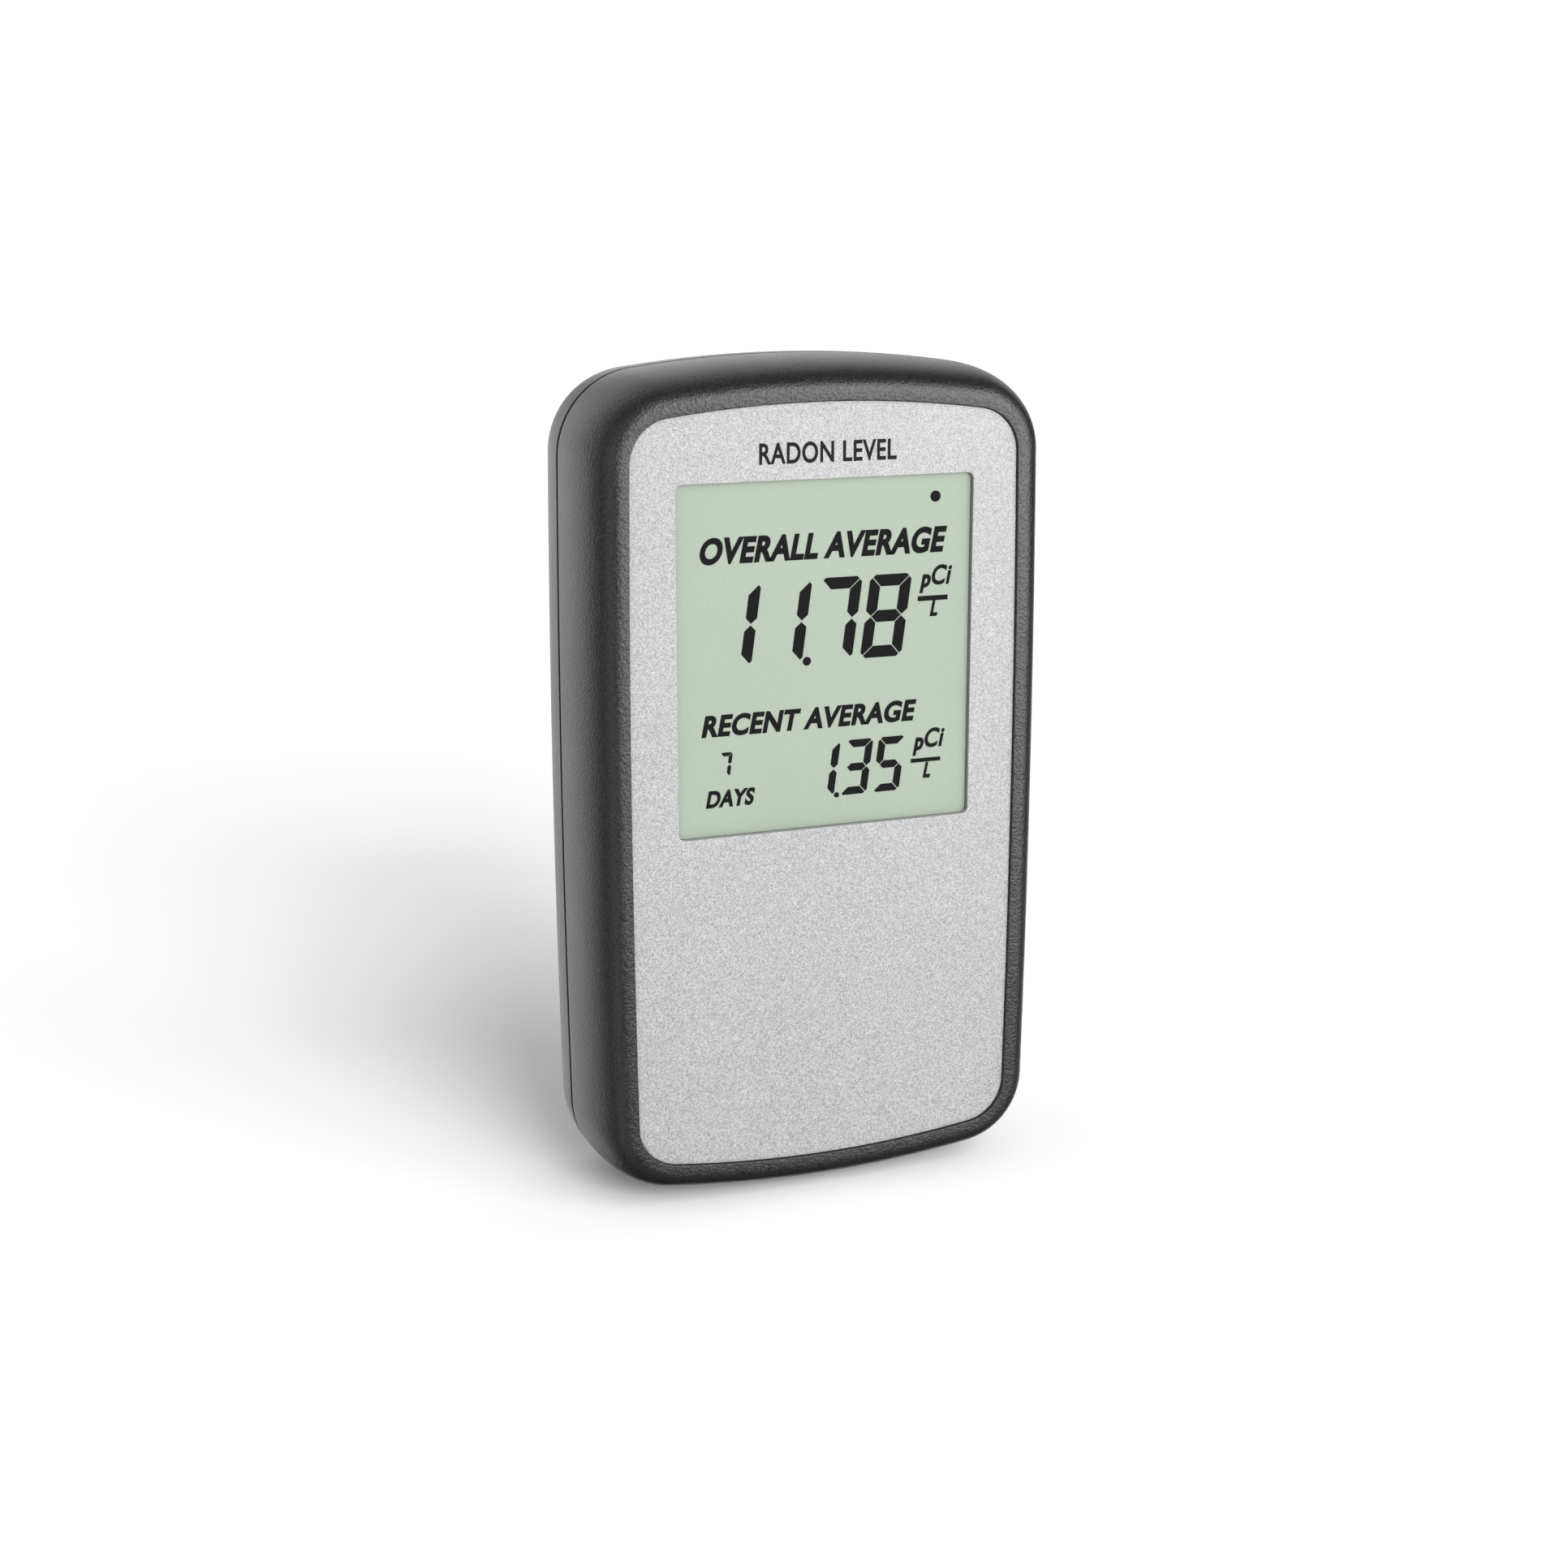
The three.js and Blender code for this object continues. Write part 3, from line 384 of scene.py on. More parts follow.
def rear_flank():
    """(inset, y) from the seam, starting in a small rounded edge, back to the flat back."""
    depth = BACK_Y - SEAM_Y
    power = 2 / BACK_EXPONENT
    section = []
    for s, c in quarter_turn():
        section.append((EDGE_RADIUS * (1 - s), SEAM_Y + SEAM_HALF_GAP + EDGE_RADIUS * c))
    for i in range(1, FLANK_STEPS + 1):
        q = math.pi / 2 * i / FLANK_STEPS
        y = SEAM_Y + depth * math.sin(q) ** power
        if y > SEAM_Y + SEAM_HALF_GAP + EDGE_RADIUS:
            section.append((BACK_INSET * (1 - math.cos(q) ** power), y))
    return section


# ---------------------------------------------------------------- materials


# The spans in which nearly all and most of a noise texture's values lie.
NOISE_SPAN = (0.3, 0.7)
NOISE_MIDDLE = (0.35, 0.65)
BLOTCH_PER_MM = 0.05


def node_material(name):
    material = bpy.data.materials.new(name)
    material.use_nodes = True
    nodes = material.node_tree.nodes
    return material, nodes, material.node_tree.links, nodes["Principled BSDF"]


def noise(nodes, links, coords, scale, detail):
    texture = nodes.new("ShaderNodeTexNoise")
    texture.inputs["Scale"].default_value = scale
    texture.inputs["Detail"].default_value = detail
    links.new(coords, texture.inputs["Vector"])
    return texture.outputs["Fac"]


def remap(nodes, links, value, low, high, new_low, new_high):
    """value from low..high to new_low..new_high, clamped."""
    mapping = nodes.new("ShaderNodeMapRange")
    links.new(value, mapping.inputs["Value"])
    mapping.inputs["From Min"].default_value = low
    mapping.inputs["From Max"].default_value = high
    mapping.inputs["To Min"].default_value = new_low
    mapping.inputs["To Max"].default_value = new_high
    return mapping.outputs["Result"]


def mixed_colour(nodes, links, factor, colour_a, colour_b):
    mix = nodes.new("ShaderNodeMix")
    mix.data_type = "RGBA"
    links.new(factor, mix.inputs["Factor"])
    mix.inputs["A"].default_value = (*colour_a, 1)
    mix.inputs["B"].default_value = (*colour_b, 1)
    return mix.outputs["Result"]


def bumped(nodes, links, height, strength, distance_mm):
    bump = nodes.new("ShaderNodeBump")
    bump.inputs["Strength"].default_value = strength
    bump.inputs["Distance"].default_value = distance_mm * MM
    links.new(height, bump.inputs["Height"])
    return bump.outputs["Normal"]


def grained(name, dark, light, rough, grain_per_mm, bump_mm, strength,
            metallic=0.0, specular=0.5, blotch_share=0.3, sparkle=0.0):
    """A surface with fine grain in colour, roughness and height, and slow large variation.

    sparkle is the share by which the grain makes the reflection stronger or weaker.
    """
    material, nodes, links, shader = node_material(name)
    coords = nodes.new("ShaderNodeTexCoord").outputs["Object"]
    grain = noise(nodes, links, coords, grain_per_mm / MM, detail=3.0)
    blotch = noise(nodes, links, coords, BLOTCH_PER_MM / MM, detail=2.0)
    both = nodes.new("ShaderNodeMath")
    both.operation = "MULTIPLY_ADD"
    links.new(grain, both.inputs[0])
    both.inputs[1].default_value = 1 - blotch_share
    links.new(remap(nodes, links, blotch, 0.0, 1.0, 0.0, blotch_share), both.inputs[2])
    factor = remap(nodes, links, both.outputs[0], *NOISE_SPAN, 0.0, 1.0)
    links.new(mixed_colour(nodes, links, factor, dark, light), shader.inputs["Base Color"])
    roughness = remap(nodes, links, both.outputs[0], *NOISE_SPAN, *rough)
    links.new(roughness, shader.inputs["Roughness"])
    links.new(bumped(nodes, links, grain, strength, bump_mm), shader.inputs["Normal"])
    shader.inputs["Metallic"].default_value = metallic
    shine = (specular * (1 - sparkle), specular * (1 + sparkle))
    links.new(remap(nodes, links, grain, *NOISE_SPAN, *shine), shader.inputs["Specular IOR Level"])
    return material


def case_plastic():
    return grained("satin_dark_plastic", (0.0165, 0.0165, 0.017), (0.021, 0.021, 0.0215),
                   rough=(0.34, 0.48), grain_per_mm=2.8, bump_mm=0.12, strength=0.9, sparkle=0.35)


def silver_lacquer():
    return grained("silver_lacquer", (0.26, 0.26, 0.265), (0.665, 0.665, 0.675),
                   rough=(0.45, 0.6), grain_per_mm=6.0, bump_mm=0.03, strength=0.9, metallic=0.08,
                   specular=0.3, blotch_share=0.04)


# A darker grey for the walls of the panel's window: painted shade where the window's recess lies in
# shadow.
def window_wall_shade():
    return grained("painted_window_wall_shade", (0.18, 0.185, 0.175), (0.25, 0.255, 0.245),
                   rough=(0.5, 0.65), grain_per_mm=4.0, bump_mm=0.01, strength=0.5, specular=0.3)


def display_face():
    return grained("display_face", (0.39, 0.463, 0.370), (0.452, 0.53, 0.428),
                   rough=(0.45, 0.55), grain_per_mm=3.5, bump_mm=0.004, strength=0.3, specular=0.25)


def display_ink():
    return grained("display_ink", (0.010, 0.010, 0.011), (0.015, 0.015, 0.016),
                   rough=(0.6, 0.7), grain_per_mm=3.0, bump_mm=0.003, strength=0.2, specular=0.03)


def printed_ink():
    return grained("printed_ink", (0.012, 0.012, 0.013), (0.019, 0.019, 0.020),
                   rough=(0.5, 0.65), grain_per_mm=5.0, bump_mm=0.005, strength=0.3, specular=0.05)


def soft_rubber():
    return grained("soft_rubber", (0.045, 0.045, 0.047), (0.07, 0.07, 0.072),
                   rough=(0.6, 0.78), grain_per_mm=3.0, bump_mm=0.02, strength=0.5, specular=0.35)


def moulded_black():
    return grained("moulded_black", (0.014, 0.014, 0.015), (0.03, 0.03, 0.031),
                   rough=(0.4, 0.6), grain_per_mm=6.0, bump_mm=0.01, strength=0.4)


def label_film():
    return grained("label_film", (0.60, 0.60, 0.585), (0.68, 0.68, 0.66),
                   rough=(0.45, 0.6), grain_per_mm=2.5, bump_mm=0.008, strength=0.3)


def pressed_felt():
    return grained("pressed_felt", (0.55, 0.54, 0.5), (0.8, 0.79, 0.74),
                   rough=(0.9, 1.0), grain_per_mm=5.0, bump_mm=0.12, strength=1.0, specular=0.1)


def drawn_aluminium():
    return grained("drawn_aluminium", (0.55, 0.56, 0.58), (0.68, 0.69, 0.71),
                   rough=(0.25, 0.42), grain_per_mm=3.0, bump_mm=0.008, strength=0.4, metallic=1.0)


def reflector_sheet():
    return grained("reflector_sheet", (0.74, 0.75, 0.72), (0.8, 0.81, 0.78),
                   rough=(0.7, 0.85), grain_per_mm=4.0, bump_mm=0.005, strength=0.3, specular=0.2)


def plated_steel():
    """Nickel-plated steel with fine drawing marks along its length and faint tarnish."""
    material, nodes, links, shader = node_material("plated_steel")
    coords = nodes.new("ShaderNodeTexCoord").outputs["Object"]
    stretch = nodes.new("ShaderNodeMapping")
    stretch.inputs["Scale"].default_value = (0.15, 1.0, 1.0)
    links.new(coords, stretch.inputs["Vector"])
    marks = noise(nodes, links, stretch.outputs["Vector"], 9 / MM, detail=4.0)
    tarnish = noise(nodes, links, coords, 0.5 / MM, detail=3.0)
    factor = remap(nodes, links, tarnish, *NOISE_MIDDLE, 0.0, 1.0)
    colour = mixed_colour(nodes, links, factor, (0.50, 0.49, 0.47), (0.66, 0.65, 0.63))
    links.new(colour, shader.inputs["Base Color"])
    links.new(remap(nodes, links, marks, *NOISE_SPAN, 0.22, 0.42), shader.inputs["Roughness"])
    links.new(bumped(nodes, links, marks, strength=0.3, distance_mm=0.01), shader.inputs["Normal"])
    shader.inputs["Metallic"].default_value = 1.0
    return material


def solder_mask():
    """Green mask over a pattern of copper runs, with a slight relief along each run."""
    material, nodes, links, shader = node_material("solder_mask")
    coords = nodes.new("ShaderNodeTexCoord").outputs["Object"]
    turn_flat = nodes.new("ShaderNodeMapping")
    turn_flat.inputs["Rotation"].default_value = (math.radians(90), 0, 0)
    links.new(coords, turn_flat.inputs["Vector"])
    runs = nodes.new("ShaderNodeTexBrick")
    runs.inputs["Scale"].default_value = 0.35 / MM
    runs.inputs["Mortar Size"].default_value = 0.06
    runs.inputs["Mortar Smooth"].default_value = 0.2
    links.new(turn_flat.outputs["Vector"], runs.inputs["Vector"])
    blotch = noise(nodes, links, coords, 0.4 / MM, detail=3.0)
    copper = runs.outputs["Fac"]
    colour = mixed_colour(nodes, links, copper, (0.012, 0.085, 0.035), (0.04, 0.2, 0.085))
    links.new(colour, shader.inputs["Base Color"])
    links.new(remap(nodes, links, blotch, *NOISE_SPAN, 0.25, 0.42), shader.inputs["Roughness"])
    relief = bumped(nodes, links, copper, strength=0.5, distance_mm=0.03)
    links.new(relief, shader.inputs["Normal"])
    return material


def cell_jacket():
    """A plain blue-grey foil sleeve with slight scuffs and no print."""
    material, nodes, links, shader = node_material("cell_jacket_foil")
    coords = nodes.new("ShaderNodeTexCoord").outputs["Object"]
    scuffs = noise(nodes, links, coords, 0.3 / MM, detail=3.0)
    factor = remap(nodes, links, scuffs, *NOISE_MIDDLE, 0.0, 1.0)
    colour = mixed_colour(nodes, links, factor, (0.17, 0.2, 0.24), (0.24, 0.27, 0.31))
    links.new(colour, shader.inputs["Base Color"])
    links.new(remap(nodes, links, scuffs, *NOISE_SPAN, 0.24, 0.4), shader.inputs["Roughness"])
    relief = bumped(nodes, links, scuffs, strength=0.15, distance_mm=0.05)
    links.new(relief, shader.inputs["Normal"])
    shader.inputs["Metallic"].default_value = 0.7
    return material


CASE_PLASTIC = case_plastic()
SILVER = silver_lacquer()
WINDOW_WALL_SHADE = window_wall_shade()
DISPLAY = display_face()
INK = display_ink()
PRINT = printed_ink()
RUBBER = soft_rubber()
BLACK = moulded_black()
LABEL = label_film()
FELT = pressed_felt()
ALUMINIUM = drawn_aluminium()
REFLECTOR = reflector_sheet()
STEEL = plated_steel()
BOARD = solder_mask()
JACKET = cell_jacket()


# ---------------------------------------------------------------- enclosure


def front_frame():
    """The front half of the case: one closed section swept round the outline."""
    bm = bmesh.new()
    ledge_front = PANEL_Y + PANEL_THICKNESS + GAP
    ledge_back = ledge_front + LEDGE_THICKNESS
    seam_face = SEAM_Y - SEAM_HALF_GAP
    section = front_flank()
    section += [(inset, seam_face - depth) for inset, depth in SEAM_RELIEF]
    section += [(WALL, seam_face), (WALL, ledge_back), (LEDGE_INSET, ledge_back)]
    section += [(LEDGE_INSET, ledge_front), (POCKET_INSET, ledge_front)]
    roll_end = POCKET_INSET - BEZEL_EDGE
    roll = []
    for i in range(1, BEZEL_STEPS):
        share = i / BEZEL_STEPS
        roll.append((CREST_INSET + (roll_end - CREST_INSET) * share, BEZEL_DROP * share**2))
    roll += [(roll_end + BEZEL_EDGE * s, BEZEL_DROP + BEZEL_EDGE * c) for s, c in quarter_turn()]
    section += [(inset, FRONT_Y + drop) for inset, drop in reversed(roll)]
    bridge_all(bm, sweep(bm, section), closed=True)
    return new_object("moulded_front_frame", bm, CASE_PLASTIC)


def front_panel():
    """The silver panel. All but the lower side of the cut through it is coloured a darker grey,
    painted shade for the window's recess; the lower side stays silver.
    """
    bm = bmesh.new()
    back_y = PANEL_Y + PANEL_THICKNESS
    section = [(PANEL_INSET, back_y)]
    section += [(PANEL_INSET + along, PANEL_Y + depth) for along, depth in soft_edge(PANEL_CHAMFER)]
    outer = sweep(bm, section)
    bridge_all(bm, outer)
    cut = [(grow, PANEL_Y + depth) for grow, depth in soft_edge(WINDOW_EDGE)]
    inner = walls(bm, rounded_rect(**WINDOW), [(0, back_y), *cut])
    sill_z = WINDOW["z"] - WINDOW["half_h"] + WINDOW["radius"] / 2
    # The walls above the sill get the painted-shade grey; the lower side, which faces up to the
    # light, stays silver.
    for face in {face for vert in inner[0] for face in vert.link_faces}:
        face.material_index = int(face.calc_center_median().z > sill_z)
    fill(bm, [outer[-1], inner[-1]], FORWARD)
    fill(bm, [outer[0], inner[0]], BACKWARD)
    panel = new_object("silver_front_panel", bm, SILVER)
    panel.data.materials.append(WINDOW_WALL_SHADE)
    return weigh_normals(panel)


def rim(radius=HOLE_EDGE):
    """The start of a path into a hole: a rounded edge at the back face."""
    return [(radius * (1 - s), BACK_Y - radius * c) for s, c in quarter_turn()]


def rear_shell():
    """The rear half of the case: a swept wall with holes, recesses and boxes in its back."""
    bm = bmesh.new()
    seam_face = SEAM_Y + SEAM_HALF_GAP
    lip_end = SEAM_Y - LIP_REACH
    section = [(inset, INNER_Y - depth) for inset, depth in INNER_CURVE]
    section += [
        (WALL, SEAM_Y + LIP_ROOT), (LIP_INSET + LIP_THICKNESS, SEAM_Y + LIP_REACH),
        (LIP_INSET + LIP_THICKNESS, lip_end), (LIP_INSET, lip_end), (LIP_INSET, seam_face),
    ]
    section += [(inset, seam_face + depth) for inset, depth in reversed(SEAM_RELIEF)]
    rings = sweep(bm, section + rear_flank())
    bridge_all(bm, rings)
    back_loops, inner_loops = [rings[-1]], [rings[0]]

    def pierce(shape, path):
        """A hole from the back face to the inner face."""
        hole = walls(bm, shape, path)
        back_loops.append(hole[0])
        inner_loops.append(hole[-1])

    def sink(shape, path):
        """A recess in the back face, closed at its floor."""
        recess = walls(bm, shape, path)
        back_loops.append(recess[0])
        fill(bm, [recess[-1]], BACKWARD)

    def box_in(shape, wall, floor_y):
        """The outside of a box that stands inwards from the inner face."""
        box = walls(bm, shape, [(wall, INNER_Y), (wall, floor_y - wall)])
        inner_loops.append(box[0])
        fill(bm, [box[-1]], FORWARD)

    for place in SCREW_PLACES:
        pierce(round_at(place), [
            *[(COUNTERBORE_RADIUS + grow, y) for grow, y in rim()],
            (COUNTERBORE_RADIUS, COUNTERBORE_Y), (SCREW_HOLE_RADIUS, COUNTERBORE_Y),
            (SCREW_HOLE_RADIUS, POST_END_Y), (POST_RADIUS, POST_END_Y), (POST_RADIUS, INNER_Y),
        ])
    for place in BUTTON_PLACES.values():
        pierce(round_at(place), [
            *[(BUTTON_HOLE_RADIUS + grow, y) for grow, y in rim()],
            (BUTTON_HOLE_RADIUS, INNER_Y), (BUTTON_GUIDE_INNER, INNER_Y),
            (BUTTON_GUIDE_INNER, BUTTON_GUIDE_END_Y), (BUTTON_GUIDE_OUTER, BUTTON_GUIDE_END_Y),
            (BUTTON_GUIDE_OUTER, INNER_Y),
        ])
    for i in range(SLOT_COUNT):
        z = CHAMBER_Z + (i - (SLOT_COUNT - 1) / 2) * SLOT_PITCH
        pierce(rounded_rect(x=CHAMBER_X, z=z, **SLOT), [*rim(), (0, INNER_Y)])
    label_recess = box_outline(LABEL_LOW, LABEL_HIGH, LABEL_CORNER, margin=GAP)
    sink(label_recess, [*rim(LABEL_RECESS_EDGE), (0, BACK_Y - LABEL_RECESS)])
    sink(rounded_rect(**BAY), [
        *[(COVER_LEDGE + grow, y) for grow, y in rim(BAY_EDGE)],
        (COVER_LEDGE, COVER_SEAT_Y), (0, COVER_SEAT_Y), (0, BAY_FLOOR_Y),
    ])
    box_in(rounded_rect(**BAY), BAY_WALL, BAY_FLOOR_Y)
    mouth = walls(bm, keyhole, [*rim(), (0, INNER_Y)])
    back_loops.append(mouth[0])
    pocket = walls(bm, rounded_rect(**POCKET), [(0, INNER_Y), (0, POCKET_FLOOR_Y)])
    fill(bm, [mouth[-1], pocket[0]], FORWARD)
    fill(bm, [pocket[-1]], BACKWARD)
    box_in(rounded_rect(**POCKET), POCKET_WALL, POCKET_FLOOR_Y)
    fill(bm, back_loops, BACKWARD)
    fill(bm, inner_loops, FORWARD)
    return weigh_normals(new_object("moulded_rear_shell", bm, CASE_PLASTIC))


def battery_cover():
    """A plate with finger grooves outside and two locating legs inside."""
    bm = bmesh.new()
    slack = COVER_LEDGE - GAP
    inner_edge = COVER_EDGE * 0.4
    path = [(slack - inner_edge, COVER_INNER_Y), (slack, COVER_INNER_Y + inner_edge)]
    path += [(slack - COVER_EDGE * c, BACK_Y - COVER_EDGE * (1 - s)) for s, c in quarter_turn()]
    rings = walls(bm, rounded_rect(**BAY), path)
    outer_loops, inner_loops = [rings[-1]], [rings[0]]
    groove_y = BACK_Y - GRIP["depth"]
    for i in range(GRIP["count"]):
        z = BAY["z"] + BAY["half_h"] - GRIP["top_inset"] - i * GRIP["pitch"]
        shape = rounded_rect(BAY["x"], z, GRIP["half_w"], GRIP["width"] / 2, GRIP_CORNER)
        groove = walls(bm, shape, [
            *rim(GRIP_EDGE), (0, groove_y + GRIP_EDGE), (-GRIP_TAPER, groove_y),
        ])
        outer_loops.append(groove[0])
        fill(bm, [groove[-1]], BACKWARD)
    leg_half = LEG["thickness"] / 2
    for side in (-1, 1):
        z = BAY["z"] + side * (BAY["half_h"] - GAP - leg_half)
        shape = rounded_rect(BAY["x"], z, LEG["half_w"], leg_half, LEG_CORNER)
        leg = walls(bm, shape, [
            (0, COVER_INNER_Y), (0, COVER_LOW.y + LEG_TIP), (-LEG_TAPER, COVER_LOW.y),
        ])
        inner_loops.append(leg[0])
        fill(bm, [leg[-1]], FORWARD)
    fill(bm, outer_loops, BACKWARD)
    fill(bm, inner_loops, FORWARD)
    return weigh_normals(new_object("grooved_battery_cover", bm, CASE_PLASTIC))


def display_slab():
    """The display glass, with its front film standing up into the panel's window."""
    bm = bmesh.new()
    edge = soft_edge(GLASS_BEVEL)
    path = [(-along, GLASS_HIGH.y - depth) for along, depth in reversed(edge)]
    path += [(-along, GLASS_LOW.y + depth) for along, depth in edge]
    glass = walls(bm, box_outline(GLASS_LOW, GLASS_HIGH, GLASS_CORNER), path)
    path = [(-FILM_GAP, GLASS_LOW.y)]
    path += [(-along - FILM_GAP, FILM_Y + depth) for along, depth in soft_edge(FILM_BEVEL)]
    film = walls(bm, rounded_rect(**WINDOW), path)
    bridge(bm, glass[-1], film[0])
    fill(bm, [glass[0]], BACKWARD)
    fill(bm, [film[-1]], FORWARD)
    return weigh_normals(new_object("display_slab", bm, DISPLAY))


def rear_label():
    """A thin plate with rounded edges."""
    bm = bmesh.new()
    path = [(-LABEL_EDGE * (1 - s), LABEL_LOW.y + LABEL_EDGE * c) for s, c in quarter_turn(3)]
    path += [(-LABEL_EDGE * c, LABEL_HIGH.y - LABEL_EDGE * (1 - s)) for s, c in quarter_turn(3)]
    rings = walls(bm, box_outline(LABEL_LOW, LABEL_HIGH, LABEL_CORNER), path)
    fill(bm, [rings[0]], FORWARD)
    fill(bm, [rings[-1]], BACKWARD)
    return weigh_normals(new_object("rear_label", bm, LABEL))


def build_enclosure():
    """Case halves, panel, cover, display and label, each standing for its CAD node."""
    for make, body, node, slot in (
        (front_frame, "case", "front_frame", "frame_plastic"),
        (front_panel, "case", "front_panel", "panel_silver"),
        (rear_shell, "case", "rear_shell", "shell_plastic"),
        (battery_cover, "battery_cover", "battery_cover", "shell_plastic"),
        (display_slab, "case", "lcd_glass", "display_glass"),
        (rear_label, "case", "blank_label", "label_paper"),
    ):
        stand_in(make(), body, node)


# ---------------------------------------------------------------- turned pieces


def turn(bm, profile, at, steps, along_x=False):
    """Turns a profile of (radius, distance) round an axis through at, parallel to Y or to X."""
    rings = []
    for radius, distance in profile:
        if along_x:
            ring = [(distance, y, z) for y, z in circle(at.y, at.z, radius, steps)]
        else:
            ring = at_depth(circle(at.x, at.z, radius, steps), distance)
        rings.append(add_ring(bm, ring))
    bridge_all(bm, rings)
    return rings


def pin_button(name, place):
    """A domed cap on a flange, with a stem down to its switch."""
    low, high = extent(f"{name}_button")
    cap, stem, flange = 1.7, 1.3, high.x - place.x
    cap_edge, flange_edge, dome = 0.35, 0.1, 0.12
    stem_end = ((0.6 * stem, 0.0), (stem - 0.15, 0.05), (stem, 0.2))
    flange_thickness = 1.25
    flange_back = INNER_Y - GAP
    flange_front = flange_back - flange_thickness
    shoulder = high.y - dome
    profile = [(radius, low.y + rise) for radius, rise in stem_end]
    profile += [(stem, flange_front), (flange - flange_edge, flange_front)]
    profile += [(flange, flange_front + flange_edge), (flange, flange_back - flange_edge)]
    profile += [(flange - flange_edge, flange_back), (cap, flange_back)]
    profile += [(cap - cap_edge * c, shoulder - cap_edge * (1 - s)) for s, c in quarter_turn()]
    for share in (0.3, 0.6, 0.85):
        profile.append(((cap - cap_edge) * (1 - share), shoulder + dome * (1 - (1 - share) ** 2)))
    bm = bmesh.new()
    rings = turn(bm, profile, place, steps=32)
    fill(bm, [rings[0]], FORWARD)
    fill(bm, [rings[-1]], BACKWARD)
    return new_object(f"{name}_pin_button", bm, RUBBER)


def cross_recess(place, y, reach, half):
    """A cross outline round a screw's axis."""
    corners = [(reach, half), (half, half), (half, reach)]
    points = list(corners)
    points += [(-x, z) for x, z in reversed(corners)]
    points += [(-x, -z) for x, z in corners]
    points += [(x, -z) for x, z in reversed(corners)]
    return [(place.x + x, y, place.z + z) for x, z in points]


def cross_screw(name, node, place):
    """A pan-head screw seen from the back, with a tapered cross recess."""
    low, high = extent(node)
    head, top = high.x - place.x, high.y
    seat = top - SCREW_HEAD_HEIGHT
    thread_radius, thread_depth, pitch, crest_share = 1.2, 0.18, 0.8, 0.35
    root = thread_radius - thread_depth
    tip_radius, tip_length, plain_length = 0.35, 1.2, 1.6
    under_edge, dome_width, dome_flatness = 0.1, 0.9, 0.9
    recess_depth = 0.95
    profile = [(tip_radius, low.y), (root, low.y + tip_length)]
    y = low.y + tip_length
    while y < seat - plain_length:
        profile += [(thread_radius, y + pitch * crest_share), (root, y + pitch)]
        y += pitch
    profile += [(root, seat), (head - under_edge, seat), (head, seat + under_edge)]
    for s, c in quarter_turn(6):
        profile.append((head - dome_width * c, top - dome_width * (1 - s) * dome_flatness))
    bm = bmesh.new()
    rings = turn(bm, profile, place, steps=36)
    fill(bm, [rings[0]], FORWARD)
    mouth = add_ring(bm, cross_recess(place, top, reach=head * 0.56, half=0.32))
    floor = add_ring(bm, cross_recess(place, top - recess_depth, reach=head * 0.3, half=0.2))
    bridge(bm, mouth, floor)
    fill(bm, [floor], BACKWARD)
    fill(bm, [rings[-1], mouth], BACKWARD)
    return new_object(name, bm, STEEL, sharp_angle=math.radians(35))


def battery(name, node):
    """A cell with a crimped jacket; its nub points to the side that its box leans to.

    Its profile is (radius, distance) pairs, from the flat end or from the end with the nub.
    """
    low, high = extent(node)
    place = (low + high) / 2
    way = 1 if place.x > 0 else -1
    flat = low.x if way > 0 else high.x
    radius = (high.z - low.z) / 2
    length = (high.x - low.x) - NUB_LENGTH
    crimp = [(3.4, 0.0), (3.7, 0.18), (4.25, 0.22), (4.5, 0.0)]
    shoulder = [(radius - 0.3, 0.0), (radius - 0.1, 0.1), (radius, 0.32)]
    nub = [(4.2, -0.12), (2.7, -0.12), (2.2, 0.0), (NUB_RADIUS, 0.15)]
    nub += [(NUB_RADIUS, NUB_LENGTH - 0.25), (NUB_RADIUS - 0.3, NUB_LENGTH)]
    profile = crimp + shoulder
    profile += [(r, length - d) for r, d in reversed([crimp[-1], *shoulder])]
    profile += [(r, length + d) for r, d in nub]
    bm = bmesh.new()
    rings = turn(bm, [(r, flat + way * d) for r, d in profile], place, steps=48, along_x=True)
    fill(bm, [rings[0]], Vector((-way, 0, 0)))
    fill(bm, [rings[-1]], Vector((way, 0, 0)))
    piece = new_object(name, bm, JACKET)
    piece.data.materials.append(STEEL)
    end_margin, jacket_fold = 0.05, 0.9
    ends = ((flat + way * end_margin) * MM, (flat + way * (length - end_margin)) * MM)
    jacket_from, jacket_to = sorted(ends)
    for face in piece.data.polygons:
        reach = math.hypot(face.center.y - place.y * MM, face.center.z - place.z * MM)
        is_end = not jacket_from < face.center.x < jacket_to
        face.material_index = int(is_end or reach < (radius - jacket_fold) * MM)
    return piece


def coil_spring(name, node, at):
    """A conical coil from its plate to a cell's flat end, closed at both ends of the wire."""
    low, high = extent(node)
    way = 1 if (low.x + high.x) < 0 else -1
    plate_x = low.x + WIRE if way > 0 else high.x - WIRE
    length = (high.x - low.x) - 2 * WIRE
    turns, steps_per_turn, sides = 4, 30, 10
    steps = turns * steps_per_turn
    angles = [2 * math.pi * k / sides for k in range(sides)]
    bm = bmesh.new()
    rings = []
    for i in range(steps + 1):
        t = i / steps
        a = 2 * math.pi * turns * t
        radius = COIL_WIDE + (COIL_NARROW - COIL_WIDE) * t
        outward = Vector((0, math.cos(a), math.sin(a)))
        round_way = Vector((0, -math.sin(a), math.cos(a)))
        middle = Vector((plate_x + way * length * t, at.y, at.z)) + outward * radius
        tangent = round_way * radius * 2 * math.pi * turns + Vector((way * length, 0, 0))
        side = tangent.normalized().cross(outward)
        ring = [middle + (outward * math.cos(b) + side * math.sin(b)) * WIRE for b in angles]
        rings.append(add_ring(bm, ring))
    bridge_all(bm, rings)
    bm.faces.new(rings[0])
    bm.faces.new(rings[-1])
    return new_object(name, bm, STEEL)


